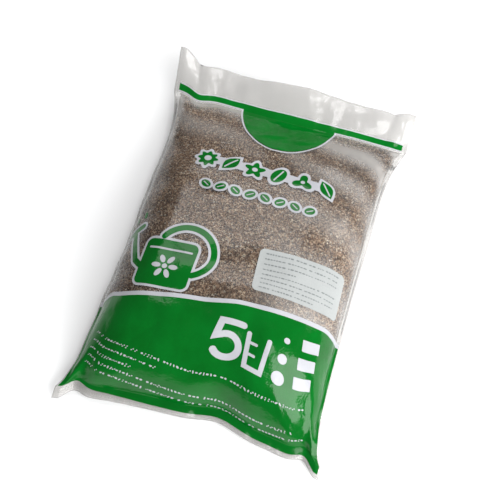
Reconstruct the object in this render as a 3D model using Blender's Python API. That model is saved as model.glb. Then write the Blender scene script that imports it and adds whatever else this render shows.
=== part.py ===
"""Clear film bag of loose vermiculite, lying on its back with its header end towards +Y.

The bag is a flat tube of clear film, welded down both sides and across the foot, filled and closed
at the header. Points on the film are given by two lengths in millimetres: s across the bag from its
middle line, and l along it from the foot edge. The film's shape in space follows from the section
laws below, which give the slope of the filled bag from its crown down to its seams.
"""
import math

import bpy
import numpy as np
from mathutils import Vector
from mathutils.geometry import delaunay_2d_cdt

MM = 0.001

# Film as it is cut and welded
FILM_WIDTH = 280.0
FILM_LENGTH = 420.0
FILM_WALL = 0.3
SIDE_WELD = 6.0
FOOT_WELD = 12.0
HEADER = 38.0
PIECE_GAP = 0.3

# Filled shape on the table
PLAN_LENGTH = 370.0
SIDE_PULL = 12.5
SIDE_PULL_POWER = 5.0
FOOT_BOW = 19.0
HEAD_BOW = 4.5
CROWN_AT = 168.0
CROWN_RISE = 56.0
SEAM_HEIGHT = 22.0
FOOT_HEIGHT = 9.0
HEAD_HEIGHT = 20.0
HEADER_TILT = math.radians(26)
FOOT_DROOP = 0.3
SIDE_SLOPE = math.radians(76)
SIDE_SLOPE_POWER = 2.4
FOOT_SLOPE = math.radians(66)
FOOT_SLOPE_POWER = 2.8
HEAD_SLOPE = math.radians(40)
HEAD_SLOPE_POWER = 0.85
BASE_SHARE = 0.1

# Folds and waves of the film
PUCKER_RISE = 2.2
PUCKER_PITCH = 37.0
PUCKER_REACH = 16.0
PUCKER_SHIFT = 4.0
HEADER_WAVE = 4.0
HEADER_WAVE_PITCH = 118.0
HEADER_WAVE_SHIFT = 20.0
HEADER_ARCH = 7.0
CORNER_CURL = 22.0
CORNER_CURL_REACH = 30.0
LUMP_RISE = 1.2
LUMP_PITCH = 88.0
DENTS = {"rise": 0.9, "pitch": 64.0, "seed": 5, "layers": 3}
FACETS = {"rise": 1.1, "pitch": 34.0, "seed": 11, "layers": 4}
FACET_REACH = {"side": 20.0, "foot": 24.0, "head": 26.0}
FACET_FLOOR = 0.35
FLAP_REACH = {"head": 14.0, "foot": 8.0}
SEAM_CALM = 10.0
FOOT_KINK = 7.0
FOOT_KINK_AT = 24.0
FOOT_KINK_REACH = 22.0
EAR_PINCH = 7.0
EAR_PINCH_AT = 110.0
EAR_PINCH_REACH = 12.0

# Creases, each from a first point to a last one, with its depth and half width
CREASES = (
    {"start": (-106.0, 420.0), "end": (-82.0, 352.0), "depth": 7.0, "reach": 9.0},
    {"start": (104.0, 420.0), "end": (100.0, 356.0), "depth": 6.0, "reach": 9.0},
    {"start": (26.0, 0.0), "end": (34.0, 40.0), "depth": 5.0, "reach": 10.0},
    {"start": (-60.0, 384.0), "end": (-48.0, 330.0), "depth": 2.5, "reach": 8.0},
    {"start": (122.0, 20.0), "end": (92.0, 92.0), "depth": 3.0, "reach": 10.0},
)

# Film grid: cells between the side seams and between the foot weld and the header
GRID_COLUMNS = 28
GRID_ROWS = 36
FOOT_ROWS = 2
HEADER_ROWS = 3
EDGE_CROWDING = 1.35
CAVITY_INSET = 1.2
NORMAL_STEP = 1.0
LAW_SEGMENTS = 400

# Vent pinholes through the front film, each in the grid cell round its middle
VENT_SIDE = 2.0
VENT_INSIDE_SEAM = 46.0
VENT_BELOW_HEADER = 16.0

# Printed fields and marks, in lengths on the film
LAYER_THICK = 0.3
PRINT_MARGIN = 2.0
FIELD_FOOT = 4.5
FIELD_FOOT_CLIMB = 8.0
FIELD_FOOT_CLIMB_AT = -30.0
WAVE_LEFT = 108.0
WAVE_RIGHT = 134.0
WAVE_BAND = 4.6
STRIPE_ABOVE_SEAM = 2.0
STRIPE_WIDTH = 6.0
DISC_MIDDLE = 1.0
DISC_RADII = (47.0, 64.0)
DISC_RIM = 1.8
TITLE_MIDDLE = 2.0
TITLE_BELOW_STRIPE = 104.0
TITLE_RADIUS = 11.2
TITLE_SPACE = 2.8
TITLE_HALO = 4.0
TITLE_BAND = 12.0
SUBTITLE_BELOW_TITLE = 34.0
SUBTITLE_SIZE = (5.6, 4.2)
SUBTITLE_SPACE = 4.2
SUBTITLE_COUNT = 8
SUBTITLE_TURN = math.radians(35)
CAN_MIDDLE = -60.0
CAN_ABOVE_WAVE = 4.0
CAN_BODY = (54.0, 50.0)
CAN_CORNER = 6.0
CAN_STROKE = 6.0
CAN_HANDLE_TURN = (-60.0, 150.0)
CAN_HALO = 2.6
CAN_DROP = (2.2, 4.0)
CAN_DROP_COUNT = 3
NUMERAL_FOOT = (7.0, 68.0)
NUMERAL_SIZE = (23.0, 36.0)
NUMERAL_STROKE = 6.6
NUMERAL_BOWL_TURN = (120.0, -150.0)
CUP_SIZE = (20.0, 31.0)
CUP_STROKE = 4.6
CUP_TICKS = (0.4, 0.75)
MARK_SPACE = 1.4
GRAIN_DOT_RADII = (3.0, 4.6, 6.4)
GRAIN_DOT_SPACE = 6.3
GRAIN_DOT_DROP = 4.5
BOX_SPACE = (9.0, 7.0)
BOX_SIZE = (19.5, 11.0)
BOX_TOP = 112.5
BOX_TURN = math.radians(8)
TEXT_MARGIN = 3.0
TEXT_TOP = 48.0
TEXT_SPACE = 4.0
TEXT_HEIGHT = 4.2
TEXT_SAG = 31.0
TEXT_SAG_AT = 30.0
TEXT_SHARES = (0.9, 0.37, 0.3, 0.86, 0.91)
ARC_SEGMENTS = 16

# Paper label, in lengths on the film
LABEL_MIDDLE = 70.0
LABEL_ABOVE_WAVE = 8.6
LABEL_SIZE = (92.0, 46.0)
LABEL_CORNER = 5.0
LABEL_TURN = math.radians(4)

# Colour, roughness and alpha of each finish
FINISHES = {
    "clear_film": ((0.80, 0.80, 0.78), 0.2, 0.35),
    "vermiculite": ((0.20, 0.13, 0.09), 0.85, 1.0),
    "green_ink": ((0.005, 0.16, 0.035), 0.3, 1.0),
    "white_ink": ((0.75, 0.76, 0.80), 0.35, 1.0),
    "label_paper": ((0.70, 0.74, 0.76), 0.4, 1.0),
}

SEAM = FILM_WIDTH / 2 - SIDE_WELD
HEAD_SEAM = FILM_LENGTH - HEADER
BODY_CENTRE = (FOOT_WELD + HEAD_SEAM) / 2
BODY_HALF = (HEAD_SEAM - FOOT_WELD) / 2
PRINT_EDGE = FILM_WIDTH / 2 - PRINT_MARGIN
STRIPE_LOW = HEAD_SEAM + STRIPE_ABOVE_SEAM


def slope_law(last_slope, power):
    """Plan distance and height of a film line whose slope grows from 0 to last_slope."""
    share = np.linspace(0.0, 1.0, LAW_SEGMENTS + 1)
    slope = last_slope * share ** power
    plan = np.concatenate([[0.0], np.cumsum((np.cos(slope)[1:] + np.cos(slope)[:-1]) / 2)])
    fall = np.concatenate([[0.0], np.cumsum((np.sin(slope)[1:] + np.sin(slope)[:-1]) / 2)])
    return share, plan / plan[-1], 1.0 - fall / fall[-1]


SIDE_LAW = slope_law(SIDE_SLOPE, SIDE_SLOPE_POWER)
FOOT_LAW = slope_law(FOOT_SLOPE, FOOT_SLOPE_POWER)
HEAD_LAW = slope_law(HEAD_SLOPE, HEAD_SLOPE_POWER)


def crown_share(l):
    """Where l lies between the crown, 0, and the foot seam, -1, or the head seam, 1."""
    foot_run = (l - CROWN_AT) / (CROWN_AT - FOOT_WELD)
    head_run = (l - CROWN_AT) / (HEAD_SEAM - CROWN_AT)
    return np.clip(np.where(l < CROWN_AT, foot_run, head_run), -1.0, 1.0)


def middle_share(l):
    """Where l lies between the foot seam, -1, and the head seam, 1."""
    return np.clip((l - BODY_CENTRE) / BODY_HALF, -1.0, 1.0)


def along_law(along, part):
    """Plan distance (part 1) or fullness (part 2) at a share of the way from the crown to a seam."""
    to_foot = np.interp(np.abs(along), FOOT_LAW[0], FOOT_LAW[part])
    to_head = np.interp(np.abs(along), HEAD_LAW[0], HEAD_LAW[part])
    return np.where(along < 0.0, to_foot, to_head)


def across_law(s, part):
    """Plan distance (part 1) or fullness (part 2) at s, from the middle line to the side seam."""
    return np.interp(np.clip(np.abs(s) / SEAM, 0.0, 1.0), SIDE_LAW[0], SIDE_LAW[part])


def foot_edge_bow(s):
    """How far the foot seam is drawn in at s: the bow, its kink and the pinched ears."""
    share = s / (FILM_WIDTH / 2)
    bow = FOOT_BOW * (1.0 - share ** 2)
    kink = FOOT_KINK * np.exp(-((s - FOOT_KINK_AT) / FOOT_KINK_REACH) ** 2)
    ears = EAR_PINCH * np.exp(-((np.abs(s) - EAR_PINCH_AT) / EAR_PINCH_REACH) ** 2)
    return bow + kink + ears


def plan_point(s, l):
    """X and Y of a film point."""
    half_width = SEAM - SIDE_PULL * (1.0 - np.abs(middle_share(l)) ** SIDE_PULL_POWER)
    x = half_width * across_law(s, 1)
    x = np.sign(s) * (x + np.clip(np.abs(s) - SEAM, 0.0, None))
    crown_y = PLAN_LENGTH * ((CROWN_AT - FOOT_WELD) / (HEAD_SEAM - FOOT_WELD) - 0.5)
    to_foot = PLAN_LENGTH / 2 + crown_y - foot_edge_bow(s)
    to_head = PLAN_LENGTH / 2 - crown_y - HEAD_BOW * (1.0 - (s / (FILM_WIDTH / 2)) ** 2)
    along = crown_share(l)
    y = crown_y + along_law(along, 1) * np.where(along < 0.0, -to_foot, to_head)
    y = y - np.clip(FOOT_WELD - l, 0.0, None)
    y = y + np.clip(l - HEAD_SEAM, 0.0, None) * math.cos(HEADER_TILT)
    return x, y + (FOOT_WELD - HEADER * math.cos(HEADER_TILT)) / 2


def flap_rise(s, l):
    """Rise of the header and droop of the foot, which both films share."""
    over = np.clip(l - HEAD_SEAM, 0.0, None)
    share = over / HEADER
    wave = HEADER_WAVE * np.sin(2.0 * math.pi * (s + HEADER_WAVE_SHIFT) / HEADER_WAVE_PITCH)
    arch = HEADER_ARCH * (1.0 - (s / (FILM_WIDTH / 2)) ** 2)
    curl = CORNER_CURL * np.exp(-((s + FILM_WIDTH / 2) / CORNER_CURL_REACH) ** 2) * share
    rise = over * math.sin(HEADER_TILT) + share * (wave + arch) + curl
    return rise - np.clip(FOOT_WELD - l, 0.0, None) * FOOT_DROOP


def seam_pucker(s, l):
    """Small waves that run in from the side seams and die out on the body."""
    inward = np.exp(-np.abs(SEAM - np.abs(s)) / PUCKER_REACH)
    run = l + np.where(s < 0.0, PUCKER_SHIFT, 0.0)
    return PUCKER_RISE * inward * np.sin(2.0 * math.pi * run / PUCKER_PITCH)


def crease_depth(s, l):
    """Depth of all creases at a film point."""
    depth = np.zeros_like(s)
    for crease in CREASES:
        (s0, l0), (s1, l1) = crease["start"], crease["end"]
        length2 = (s1 - s0) ** 2 + (l1 - l0) ** 2
        share = np.clip(((s - s0) * (s1 - s0) + (l - l0) * (l1 - l0)) / length2, 0.0, 1.0)
        apart2 = (s - s0 - share * (s1 - s0)) ** 2 + (l - l0 - share * (l1 - l0)) ** 2
        fade = 1.0 - share ** 2
        depth = depth + crease["depth"] * fade * np.exp(-apart2 / crease["reach"] ** 2)
    return depth


def triangle_wave(turns):
    """A wave with straight flanks, from -1 to 1, once a turn."""
    return 4.0 * np.abs(turns - np.floor(turns + 0.5)) - 1.0


def facets(s, l, pattern):
    """Rise of flat facets with sharp edges between them, as stiff thin film makes."""
    draw = np.random.default_rng(pattern["seed"])
    total = np.zeros_like(s)
    for _ in range(pattern["layers"]):
        turn, width = draw.uniform(0.0, math.pi), draw.uniform(0.7, 1.5)
        phases = draw.uniform(0.0, 1.0, 4)
        first = (s * math.cos(turn) + l * math.sin(turn)) / (pattern["pitch"] * width)
        second = (l * math.cos(turn + 0.9) - s * math.sin(turn + 0.9)) / (pattern["pitch"] * 1.9)
        bend = 0.35 * np.sin(2.0 * math.pi * (second * 0.7 + phases[0]))
        height = 0.6 + 0.4 * triangle_wave(second + phases[2])
        total = total + triangle_wave(first + bend + phases[1]) * height
    return pattern["rise"] * total / pattern["layers"] ** 0.5


def flap_facets(s, l):
    """Facets of the header and the foot flange, which both films share."""
    head = np.clip((l - HEAD_SEAM) / FLAP_REACH["head"], 0.0, 1.0)
    foot = np.clip((FOOT_WELD - l) / FLAP_REACH["foot"], 0.0, 1.0)
    return (head + foot) * facets(s, l, FACETS)


def front_facets(s, l):
    """Dents over the whole front, and facets that are deepest near the seams."""
    edge = np.minimum.reduce([SEAM - np.abs(s), l - FOOT_WELD, HEAD_SEAM - l])
    side = np.exp(-np.clip(SEAM - np.abs(s), 0.0, None) / FACET_REACH["side"])
    foot = np.exp(-np.clip(l - FOOT_WELD, 0.0, None) / FACET_REACH["foot"])
    head = np.exp(-np.clip(HEAD_SEAM - l, 0.0, None) / FACET_REACH["head"])
    near = np.maximum.reduce([side, foot, head, np.full_like(s, FACET_FLOOR)])
    room = np.clip(edge / SEAM_CALM, 0.0, 1.0)
    return room * (facets(s, l, DENTS) + near * facets(s, l, FACETS))


def seam_level(l):
    """Height of the side seam above the table."""
    middle = middle_share(l)
    end_height = np.where(middle < 0.0, FOOT_HEIGHT, HEAD_HEIGHT)
    return end_height + (SEAM_HEIGHT - end_height) * np.interp(np.abs(middle), FOOT_LAW[0], FOOT_LAW[2])


def header_share(l):
    """How far up the header l lies, from 0 at the head seam to 1 at its edge."""
    return np.clip((l - HEAD_SEAM) / HEADER, 0.0, 1.0)


def front_film(s, l):
    """Outer face of the front film at film points, as an array of X, Y, Z in millimetres."""
    x, y = plan_point(s, l)
    fullness = across_law(s, 2) * along_law(crown_share(l), 2)
    first_lumps = np.sin(2.0 * math.pi * (s + l) / LUMP_PITCH)
    lumps = LUMP_RISE * first_lumps * np.cos(2.0 * math.pi * (s - l) / LUMP_PITCH)
    room = np.maximum(np.sqrt(fullness), header_share(l))
    z = seam_level(l) + FILM_WALL + (CROWN_RISE + lumps) * fullness
    z = z + flap_rise(s, l) + seam_pucker(s, l) - crease_depth(s, l) * room
    z = z + flap_facets(s, l) + front_facets(s, l)
    return np.stack([x, y, z], axis=-1)


def back_film(s, l):
    """Outer face of the back film, which lies flat on the table under most of the bag."""
    x, y = plan_point(s, l)
    full_across = across_law(s, 2)
    full_under = np.interp(np.abs(middle_share(l)), FOOT_LAW[0], FOOT_LAW[2])
    away = 1.0 - (1.0 - (1.0 - full_across) ** 2) * (1.0 - (1.0 - full_under) ** 2)
    lift = np.clip((away - BASE_SHARE) / (1.0 - BASE_SHARE), 0.0, 1.0)
    shared = flap_rise(s, l) + seam_pucker(s, l) + flap_facets(s, l)
    z = lift * (seam_level(l) - FILM_WALL + shared) - crease_depth(s, l) * header_share(l)
    return np.stack([x, y, np.clip(z, 0.0, None)], axis=-1)


def outward(surface, s, l, facing):
    """Unit normals of a film surface, pointing up for facing 1 and down for facing -1."""
    step = NORMAL_STEP
    low_s = np.clip(s - step, -FILM_WIDTH / 2, FILM_WIDTH / 2)
    high_s = np.clip(s + step, -FILM_WIDTH / 2, FILM_WIDTH / 2)
    low_l = np.clip(l - step, 0.0, FILM_LENGTH)
    high_l = np.clip(l + step, 0.0, FILM_LENGTH)
    across = surface(high_s, l) - surface(low_s, l)
    along = surface(s, high_l) - surface(s, low_l)
    normal = np.cross(across, along) * facing
    return normal / np.linalg.norm(normal, axis=-1, keepdims=True)


def grid_lines():
    """Film grid lines across and along, closest together near the seams."""
    half = np.linspace(0.0, 1.0, GRID_COLUMNS // 2 + 1)
    crowded = 1.0 - (1.0 - half) ** EDGE_CROWDING
    body = SEAM * np.concatenate([-crowded[:0:-1], crowded])
    s_lines = np.concatenate([[-FILM_WIDTH / 2], body, [FILM_WIDTH / 2]])
    half = np.linspace(0.0, 1.0, GRID_ROWS // 2 + 1)
    crowded = 1.0 - (1.0 - half) ** EDGE_CROWDING
    body = BODY_CENTRE + BODY_HALF * np.concatenate([-crowded[:0:-1], crowded])
    foot = np.linspace(0.0, FOOT_WELD, FOOT_ROWS + 1)[:-1]
    header = np.linspace(HEAD_SEAM, FILM_LENGTH, HEADER_ROWS + 1)[1:]
    return s_lines, np.concatenate([foot, body, header])


S_LINES, L_LINES = grid_lines()
S_GRID, L_GRID = np.meshgrid(S_LINES, L_LINES)
FRONT = front_film(S_GRID, L_GRID)
FRONT_NORMALS = outward(front_film, S_GRID, L_GRID, 1.0)
BACK = back_film(S_GRID, L_GRID)
BACK_NORMALS = outward(back_film, S_GRID, L_GRID, -1.0)


def add_material(obj, finish):
    """Give an object its own material in one of the named finishes."""
    colour, roughness, alpha = FINISHES[finish]
    material = bpy.data.materials.new(obj.name + "_finish")
    material.use_nodes = True
    shader = material.node_tree.nodes["Principled BSDF"]
    shader.inputs["Base Color"].default_value = (*colour, 1.0)
    shader.inputs["Roughness"].default_value = roughness
    shader.inputs["Alpha"].default_value = alpha
    material.diffuse_color = (*colour, alpha)
    obj.data.materials.append(material)


def add_object(name, points, faces, finish):
    """Make one closed, smooth-shaded object from points in millimetres."""
    mesh = bpy.data.meshes.new(name)
    mesh.from_pydata([tuple(point * MM) for point in points], [], faces)
    mesh.shade_smooth()
    mesh.set_sharp_from_angle(angle=math.radians(50))
    obj = bpy.data.objects.new(name, mesh)
    bpy.context.scene.collection.objects.link(obj)
    add_material(obj, finish)
    return obj


class Shell:
    """Points and faces of one mesh, gathered layer by layer."""

    def __init__(self):
        self.points = []
        self.faces = []

    def add_layer(self, layer):
        """Add a grid of points and return their numbers as a grid."""
        first = len(self.points)
        rows, columns = layer.shape[:2]
        self.points.extend(layer.reshape(-1, 3))
        return first + np.arange(rows * columns).reshape(rows, columns)

    def add_cells(self, numbers, up, skip=(), shared_ring=()):
        """Add both triangles of each grid cell, facing up or down.

        Where two layers share a ring, a triangle with all its corners on the ring is left out.
        """
        shared = set(shared_ring)
        for row in range(numbers.shape[0] - 1):
            for column in range(numbers.shape[1] - 1):
                if (column, row) in skip:
                    continue
                a, b = numbers[row, column], numbers[row, column + 1]
                c, d = numbers[row + 1, column + 1], numbers[row + 1, column]
                for face in ((a, b, c), (a, c, d)):
                    if not shared.issuperset(face):
                        self.faces.append(face if up else face[::-1])

    def add_wall(self, top, bottom):
        """Join two rings of point numbers, whose top ring runs anticlockwise seen from above."""
        for start in range(len(top)):
            end = (start + 1) % len(top)
            self.faces.append((bottom[start], bottom[end], top[end]))
            self.faces.append((bottom[start], top[end], top[start]))


def ring_of(numbers):
    """The outer ring of a grid of point numbers, anticlockwise seen from above."""
    return np.concatenate([numbers[0, :-1], numbers[:-1, -1], numbers[-1, :0:-1], numbers[:0:-1, 0]])


def cavity_layers():
    """Inner faces of both films, which meet in one ring just inside the seams."""
    rows = slice(FOOT_ROWS, FOOT_ROWS + GRID_ROWS + 1)
    columns = slice(1, GRID_COLUMNS + 2)
    front = (FRONT - FRONT_NORMALS * FILM_WALL)[rows, columns].copy()
    back = (BACK - BACK_NORMALS * FILM_WALL)[rows, columns].copy()
    s = np.clip(S_GRID[rows, columns], -SEAM + CAVITY_INSET, SEAM - CAVITY_INSET)
    l = np.clip(L_GRID[rows, columns], FOOT_WELD + CAVITY_INSET, HEAD_SEAM - CAVITY_INSET)
    middle = (lift_point(s, l, 0.0) + lift_point(s, l, 0.0, BACK, BACK_NORMALS)) / 2
    for edge in ((0, slice(None)), (-1, slice(None)), (slice(None), 0), (slice(None), -1)):
        front[edge] = middle[edge]
        back[edge] = middle[edge]
    return front, back


def lift_point(s, l, height, surface=FRONT, normals=FRONT_NORMALS):
    """A point at a height above the facets of a film surface."""
    s, l = np.asarray(s, dtype=float), np.asarray(l, dtype=float)
    column = np.clip(np.searchsorted(S_LINES, s, side="right") - 1, 0, len(S_LINES) - 2)
    row = np.clip(np.searchsorted(L_LINES, l, side="right") - 1, 0, len(L_LINES) - 2)
    u = ((s - S_LINES[column]) / (S_LINES[column + 1] - S_LINES[column]))[..., None]
    v = ((l - L_LINES[row]) / (L_LINES[row + 1] - L_LINES[row]))[..., None]
    layer = surface + normals * height
    a, b = layer[row, column], layer[row, column + 1]
    c, d = layer[row + 1, column + 1], layer[row + 1, column]
    lower = a + (b - a) * u + (c - b) * v
    upper = a + (c - d) * u + (d - a) * v
    return np.where(u >= v, lower, upper)


def vent_cell(side):
    """Column and row of the grid cell that holds the vent at the left, -1, or the right, 1."""
    column = np.searchsorted(S_LINES, side * (SEAM - VENT_INSIDE_SEAM)) - 1
    return column, np.searchsorted(L_LINES, HEAD_SEAM - VENT_BELOW_HEADER) - 1


def cell_corners(numbers, column, row):
    """Point numbers round one grid cell, anticlockwise seen from above."""
    low, high = numbers[row], numbers[row + 1]
    return [low[column], low[column + 1], high[column + 1], high[column]]


def add_vent(shell, outer, inner, cell):
    """Join the outer and inner face of the front film round a small square hole in one cell."""
    column, row = cell
    s_mid = (S_LINES[column] + S_LINES[column + 1]) / 2
    l_mid = (L_LINES[row] + L_LINES[row + 1]) / 2
    half = VENT_SIDE / 2
    corners = [(s_mid - half, l_mid - half), (s_mid + half, l_mid - half),
               (s_mid + half, l_mid + half), (s_mid - half, l_mid + half)]
    s, l = np.array(corners).T
    rims = []
    for depth in (0.0, -FILM_WALL):
        first = len(shell.points)
        shell.points.extend(lift_point(s, l, depth))
        rims.append([first + step for step in range(len(corners))])
    outer_cell = cell_corners(outer, column, row)
    inner_cell = cell_corners(inner, column - 1, row - FOOT_ROWS)
    for start in range(len(corners)):
        end = (start + 1) % len(corners)
        shell.faces.append((outer_cell[start], outer_cell[end], rims[0][end], rims[0][start]))
        shell.faces.append((inner_cell[end], inner_cell[start], rims[1][start], rims[1][end]))
        shell.faces.append((rims[0][start], rims[0][end], rims[1][end], rims[1][start]))


def build_film_bag():
    """The bag: two films welded all round, with vent pinholes near the header."""
    shell = Shell()
    outer_front = shell.add_layer(FRONT)
    outer_back = shell.add_layer(BACK)
    inner_front_points, inner_back_points = cavity_layers()
    inner_front = shell.add_layer(inner_front_points)
    inner_back = shell.add_layer(inner_back_points)
    vent_cells = [vent_cell(side) for side in (-1.0, 1.0)]
    shell.add_cells(outer_front, up=True, skip=vent_cells)
    shell.add_cells(outer_back, up=False)
    shell.add_wall(ring_of(outer_front), ring_of(outer_back))
    inner_skip = [(column - 1, row - FOOT_ROWS) for column, row in vent_cells]
    ring_front, ring_back = ring_of(inner_front), ring_of(inner_back)
    shell.add_cells(inner_front, up=False, skip=inner_skip, shared_ring=ring_front)
    same_ring = dict(zip(ring_back, ring_front))
    inner_back = np.vectorize(lambda number: same_ring.get(number, number))(inner_back)
    shell.add_cells(inner_back, up=True, shared_ring=ring_front)
    for cell in vent_cells:
        add_vent(shell, outer_front, inner_front, cell)
    return add_clean_object("film_bag", shell, "clear_film")


def add_clean_object(name, shell, finish):
    """Make an object and leave out the points that no face uses."""
    used = sorted({number for face in shell.faces for number in face})
    place = {number: index for index, number in enumerate(used)}
    points = [np.asarray(shell.points[number]) for number in used]
    faces = [tuple(place[number] for number in face) for face in shell.faces]
    return add_object(name, points, faces, finish)


def build_fill():
    """The vermiculite: one body that fills the film, a piece gap clear of it."""
    shell = Shell()
    depth = FILM_WALL + PIECE_GAP
    rows = slice(FOOT_ROWS + 1, FOOT_ROWS + GRID_ROWS)
    columns = slice(2, GRID_COLUMNS + 1)
    front = shell.add_layer((FRONT - FRONT_NORMALS * depth)[rows, columns])
    back = shell.add_layer((BACK - BACK_NORMALS * depth)[rows, columns])
    shell.add_cells(front, up=True)
    shell.add_cells(back, up=False)
    shell.add_wall(ring_of(front), ring_of(back))
    return add_clean_object("vermiculite_fill", shell, "vermiculite")


def winding(loop, points):
    """How many times a closed outline runs round each point."""
    turns = np.zeros(len(points))
    ends = np.roll(loop, -1, axis=0)
    for (x0, y0), (x1, y1) in zip(loop, ends):
        side = (x1 - x0) * (points[:, 1] - y0) - (points[:, 0] - x0) * (y1 - y0)
        turns += (y0 <= points[:, 1]) & (y1 > points[:, 1]) & (side > 0)
        turns -= (y0 > points[:, 1]) & (y1 <= points[:, 1]) & (side < 0)
    return turns


def film_triangles(loops):
    """The front film's own facets cut along outlines: the points and the triangles inside them."""
    low = np.min([loop.min(axis=0) for loop in loops], axis=0)
    high = np.max([loop.max(axis=0) for loop in loops], axis=0)
    points, edges = [], []
    for loop in loops:
        first = len(points)
        points.extend(loop)
        edges.extend((first + step, first + (step + 1) % len(loop)) for step in range(len(loop)))
    columns = np.clip(np.searchsorted(S_LINES, (low[0], high[0])) + (-1, 1), 0, len(S_LINES) - 1)
    rows = np.clip(np.searchsorted(L_LINES, (low[1], high[1])) + (-1, 1), 0, len(L_LINES) - 1)
    first = len(points)
    width = columns[1] - columns[0] + 1
    for row in range(rows[0], rows[1] + 1):
        for column in range(columns[0], columns[1] + 1):
            here = len(points)
            points.append((S_LINES[column], L_LINES[row]))
            if column > columns[0]:
                edges.append((here - 1, here))
            if row > rows[0]:
                edges.append((here - width, here))
            if column > columns[0] and row > rows[0]:
                edges.append((here - width - 1, here))
    result = delaunay_2d_cdt([Vector(point) for point in points], edges, [], 0, 1e-5)
    flat = np.array([tuple(point) for point in result[0]])
    triangles = np.array(result[2])
    centres = flat[triangles].mean(axis=1)
    inside = np.zeros(len(centres), dtype=bool)
    for loop in loops:
        inside |= winding(loop, centres) != 0
    return flat, triangles[inside]


def build_plate(name, solids, finish, level=0):
    """A thin layer on the front film, bounded by outlines in lengths on the film."""
    flat, triangles = film_triangles(solids)
    used, numbers = np.unique(triangles, return_inverse=True)
    triangles = numbers.reshape(triangles.shape)
    s, l = flat[used].T
    foot = PIECE_GAP + level * (LAYER_THICK + PIECE_GAP)
    points = np.concatenate([lift_point(s, l, foot + LAYER_THICK), lift_point(s, l, foot)])
    count = len(used)
    faces = []
    sides = {}
    for a, b, c in triangles:
        cross = (s[b] - s[a]) * (l[c] - l[a]) - (s[c] - s[a]) * (l[b] - l[a])
        a, b, c = (a, b, c) if cross > 0 else (a, c, b)
        faces.append((a, b, c))
        faces.append((c + count, b + count, a + count))
        for start, end in ((a, b), (b, c), (c, a)):
            sides[(start, end)] = True
    for start, end in sides:
        if (end, start) not in sides:
            faces.append((start, start + count, end + count, end))
    return add_object(name, points, faces, finish)


def ellipse(centre, radii, turn=0.0, steps=ARC_SEGMENTS):
    """A closed ellipse."""
    angle = np.linspace(0.0, 2.0 * math.pi, steps, endpoint=False)
    loop = np.stack([radii[0] * np.cos(angle), radii[1] * np.sin(angle)], axis=-1)
    return turned(loop, turn) + centre


def turned(loop, angle):
    """An outline turned about the film's origin."""
    cos, sin = math.cos(angle), math.sin(angle)
    return np.asarray(loop) @ np.array([[cos, sin], [-sin, cos]])


def rounded_box(centre, size, corner, steps=4, turn=0.0):
    """A rectangle with round corners."""
    loop = []
    for quarter in range(4):
        sign_s = 1.0 if quarter in (0, 3) else -1.0
        sign_l = 1.0 if quarter in (0, 1) else -1.0
        middle = (sign_s * (size[0] / 2 - corner), sign_l * (size[1] / 2 - corner))
        for step in range(steps + 1):
            angle = (quarter + step / steps) * math.pi / 2
            loop.append((middle[0] + corner * math.cos(angle), middle[1] + corner * math.sin(angle)))
    return turned(loop, turn) + centre


def lobed(centre, radius, lobes, depth, steps=24):
    """A round outline with a number of lobes, such as a flower or a sun."""
    angle = np.linspace(0.0, 2.0 * math.pi, steps, endpoint=False)
    reach = radius * (1.0 - depth / 2 + depth / 2 * np.cos(lobes * (angle - math.pi / 2)))
    return np.stack([centre[0] + reach * np.cos(angle), centre[1] + reach * np.sin(angle)], axis=-1)


def leaf(centre, length, width, turn, steps=7):
    """A leaf with two pointed ends."""
    share = np.linspace(0.0, 1.0, steps + 1)
    upper = np.stack([(share - 0.5) * length, width / 2 * np.sin(math.pi * share)], axis=-1)
    lower = upper[-2:0:-1] * (1.0, -1.0)
    return turned(np.concatenate([upper, lower]), turn) + centre


def ribbon(path, width, long_ends=True):
    """A stroke of constant width along a path, with square ends half a width past it."""
    path = np.array(path, dtype=float)
    run = np.diff(path, axis=0)
    run = run / np.linalg.norm(run, axis=1, keepdims=True)
    side = np.stack([-run[:, 1], run[:, 0]], axis=-1)
    before = np.concatenate([side[:1], side])
    after = np.concatenate([side, side[-1:]])
    mitre = before + after
    mitre = mitre / np.sum(mitre * before, axis=1, keepdims=True)
    if long_ends:
        path[0] -= run[0] * width / 2
        path[-1] += run[-1] * width / 2
    left = path + mitre * width / 2
    right = path - mitre * width / 2
    return np.concatenate([right, left[::-1]])


def arc(centre, radii, first, last, steps):
    """Points of an arc from one angle to another, in degrees."""
    angle = np.radians(np.linspace(first, last, steps + 1))
    return np.stack([centre[0] + radii[0] * np.cos(angle), centre[1] + radii[1] * np.sin(angle)], axis=-1)


def wave_line(s):
    """Upper edge of the green field, which climbs from left to right in one soft wave."""
    share = (s + PRINT_EDGE) / (2.0 * PRINT_EDGE)
    return WAVE_LEFT + (WAVE_RIGHT - WAVE_LEFT) * (0.5 - 0.5 * np.cos(math.pi * share))


def foot_line(s):
    """Lower edge of the green field, which climbs off the flange at the left."""
    share = np.clip((FIELD_FOOT_CLIMB_AT - s) / (FIELD_FOOT_CLIMB_AT + PRINT_EDGE), 0.0, None)
    return FIELD_FOOT + FIELD_FOOT_CLIMB * share ** 1.5


def build_fields():
    """The green field at the foot, the white band above it, and the stripe and half disc at the head."""
    s = np.linspace(-PRINT_EDGE, PRINT_EDGE, 2 * ARC_SEGMENTS + 1)
    top = np.stack([s, wave_line(s)], axis=-1)
    foot = np.stack([s, foot_line(s)], axis=-1)[::-1]
    build_plate("green_field", [np.concatenate([foot, top])], "green_ink")
    low = top + (0.0, PIECE_GAP)
    high = top[::-1] + (0.0, PIECE_GAP + WAVE_BAND)
    build_plate("white_wave", [np.concatenate([low, high])], "white_ink")
    stripe = rounded_box((0.0, STRIPE_LOW + STRIPE_WIDTH / 2), (2 * SEAM, STRIPE_WIDTH), 1.0, 1)
    build_plate("header_stripe", [stripe], "green_ink")
    build_half_disc()


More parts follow.
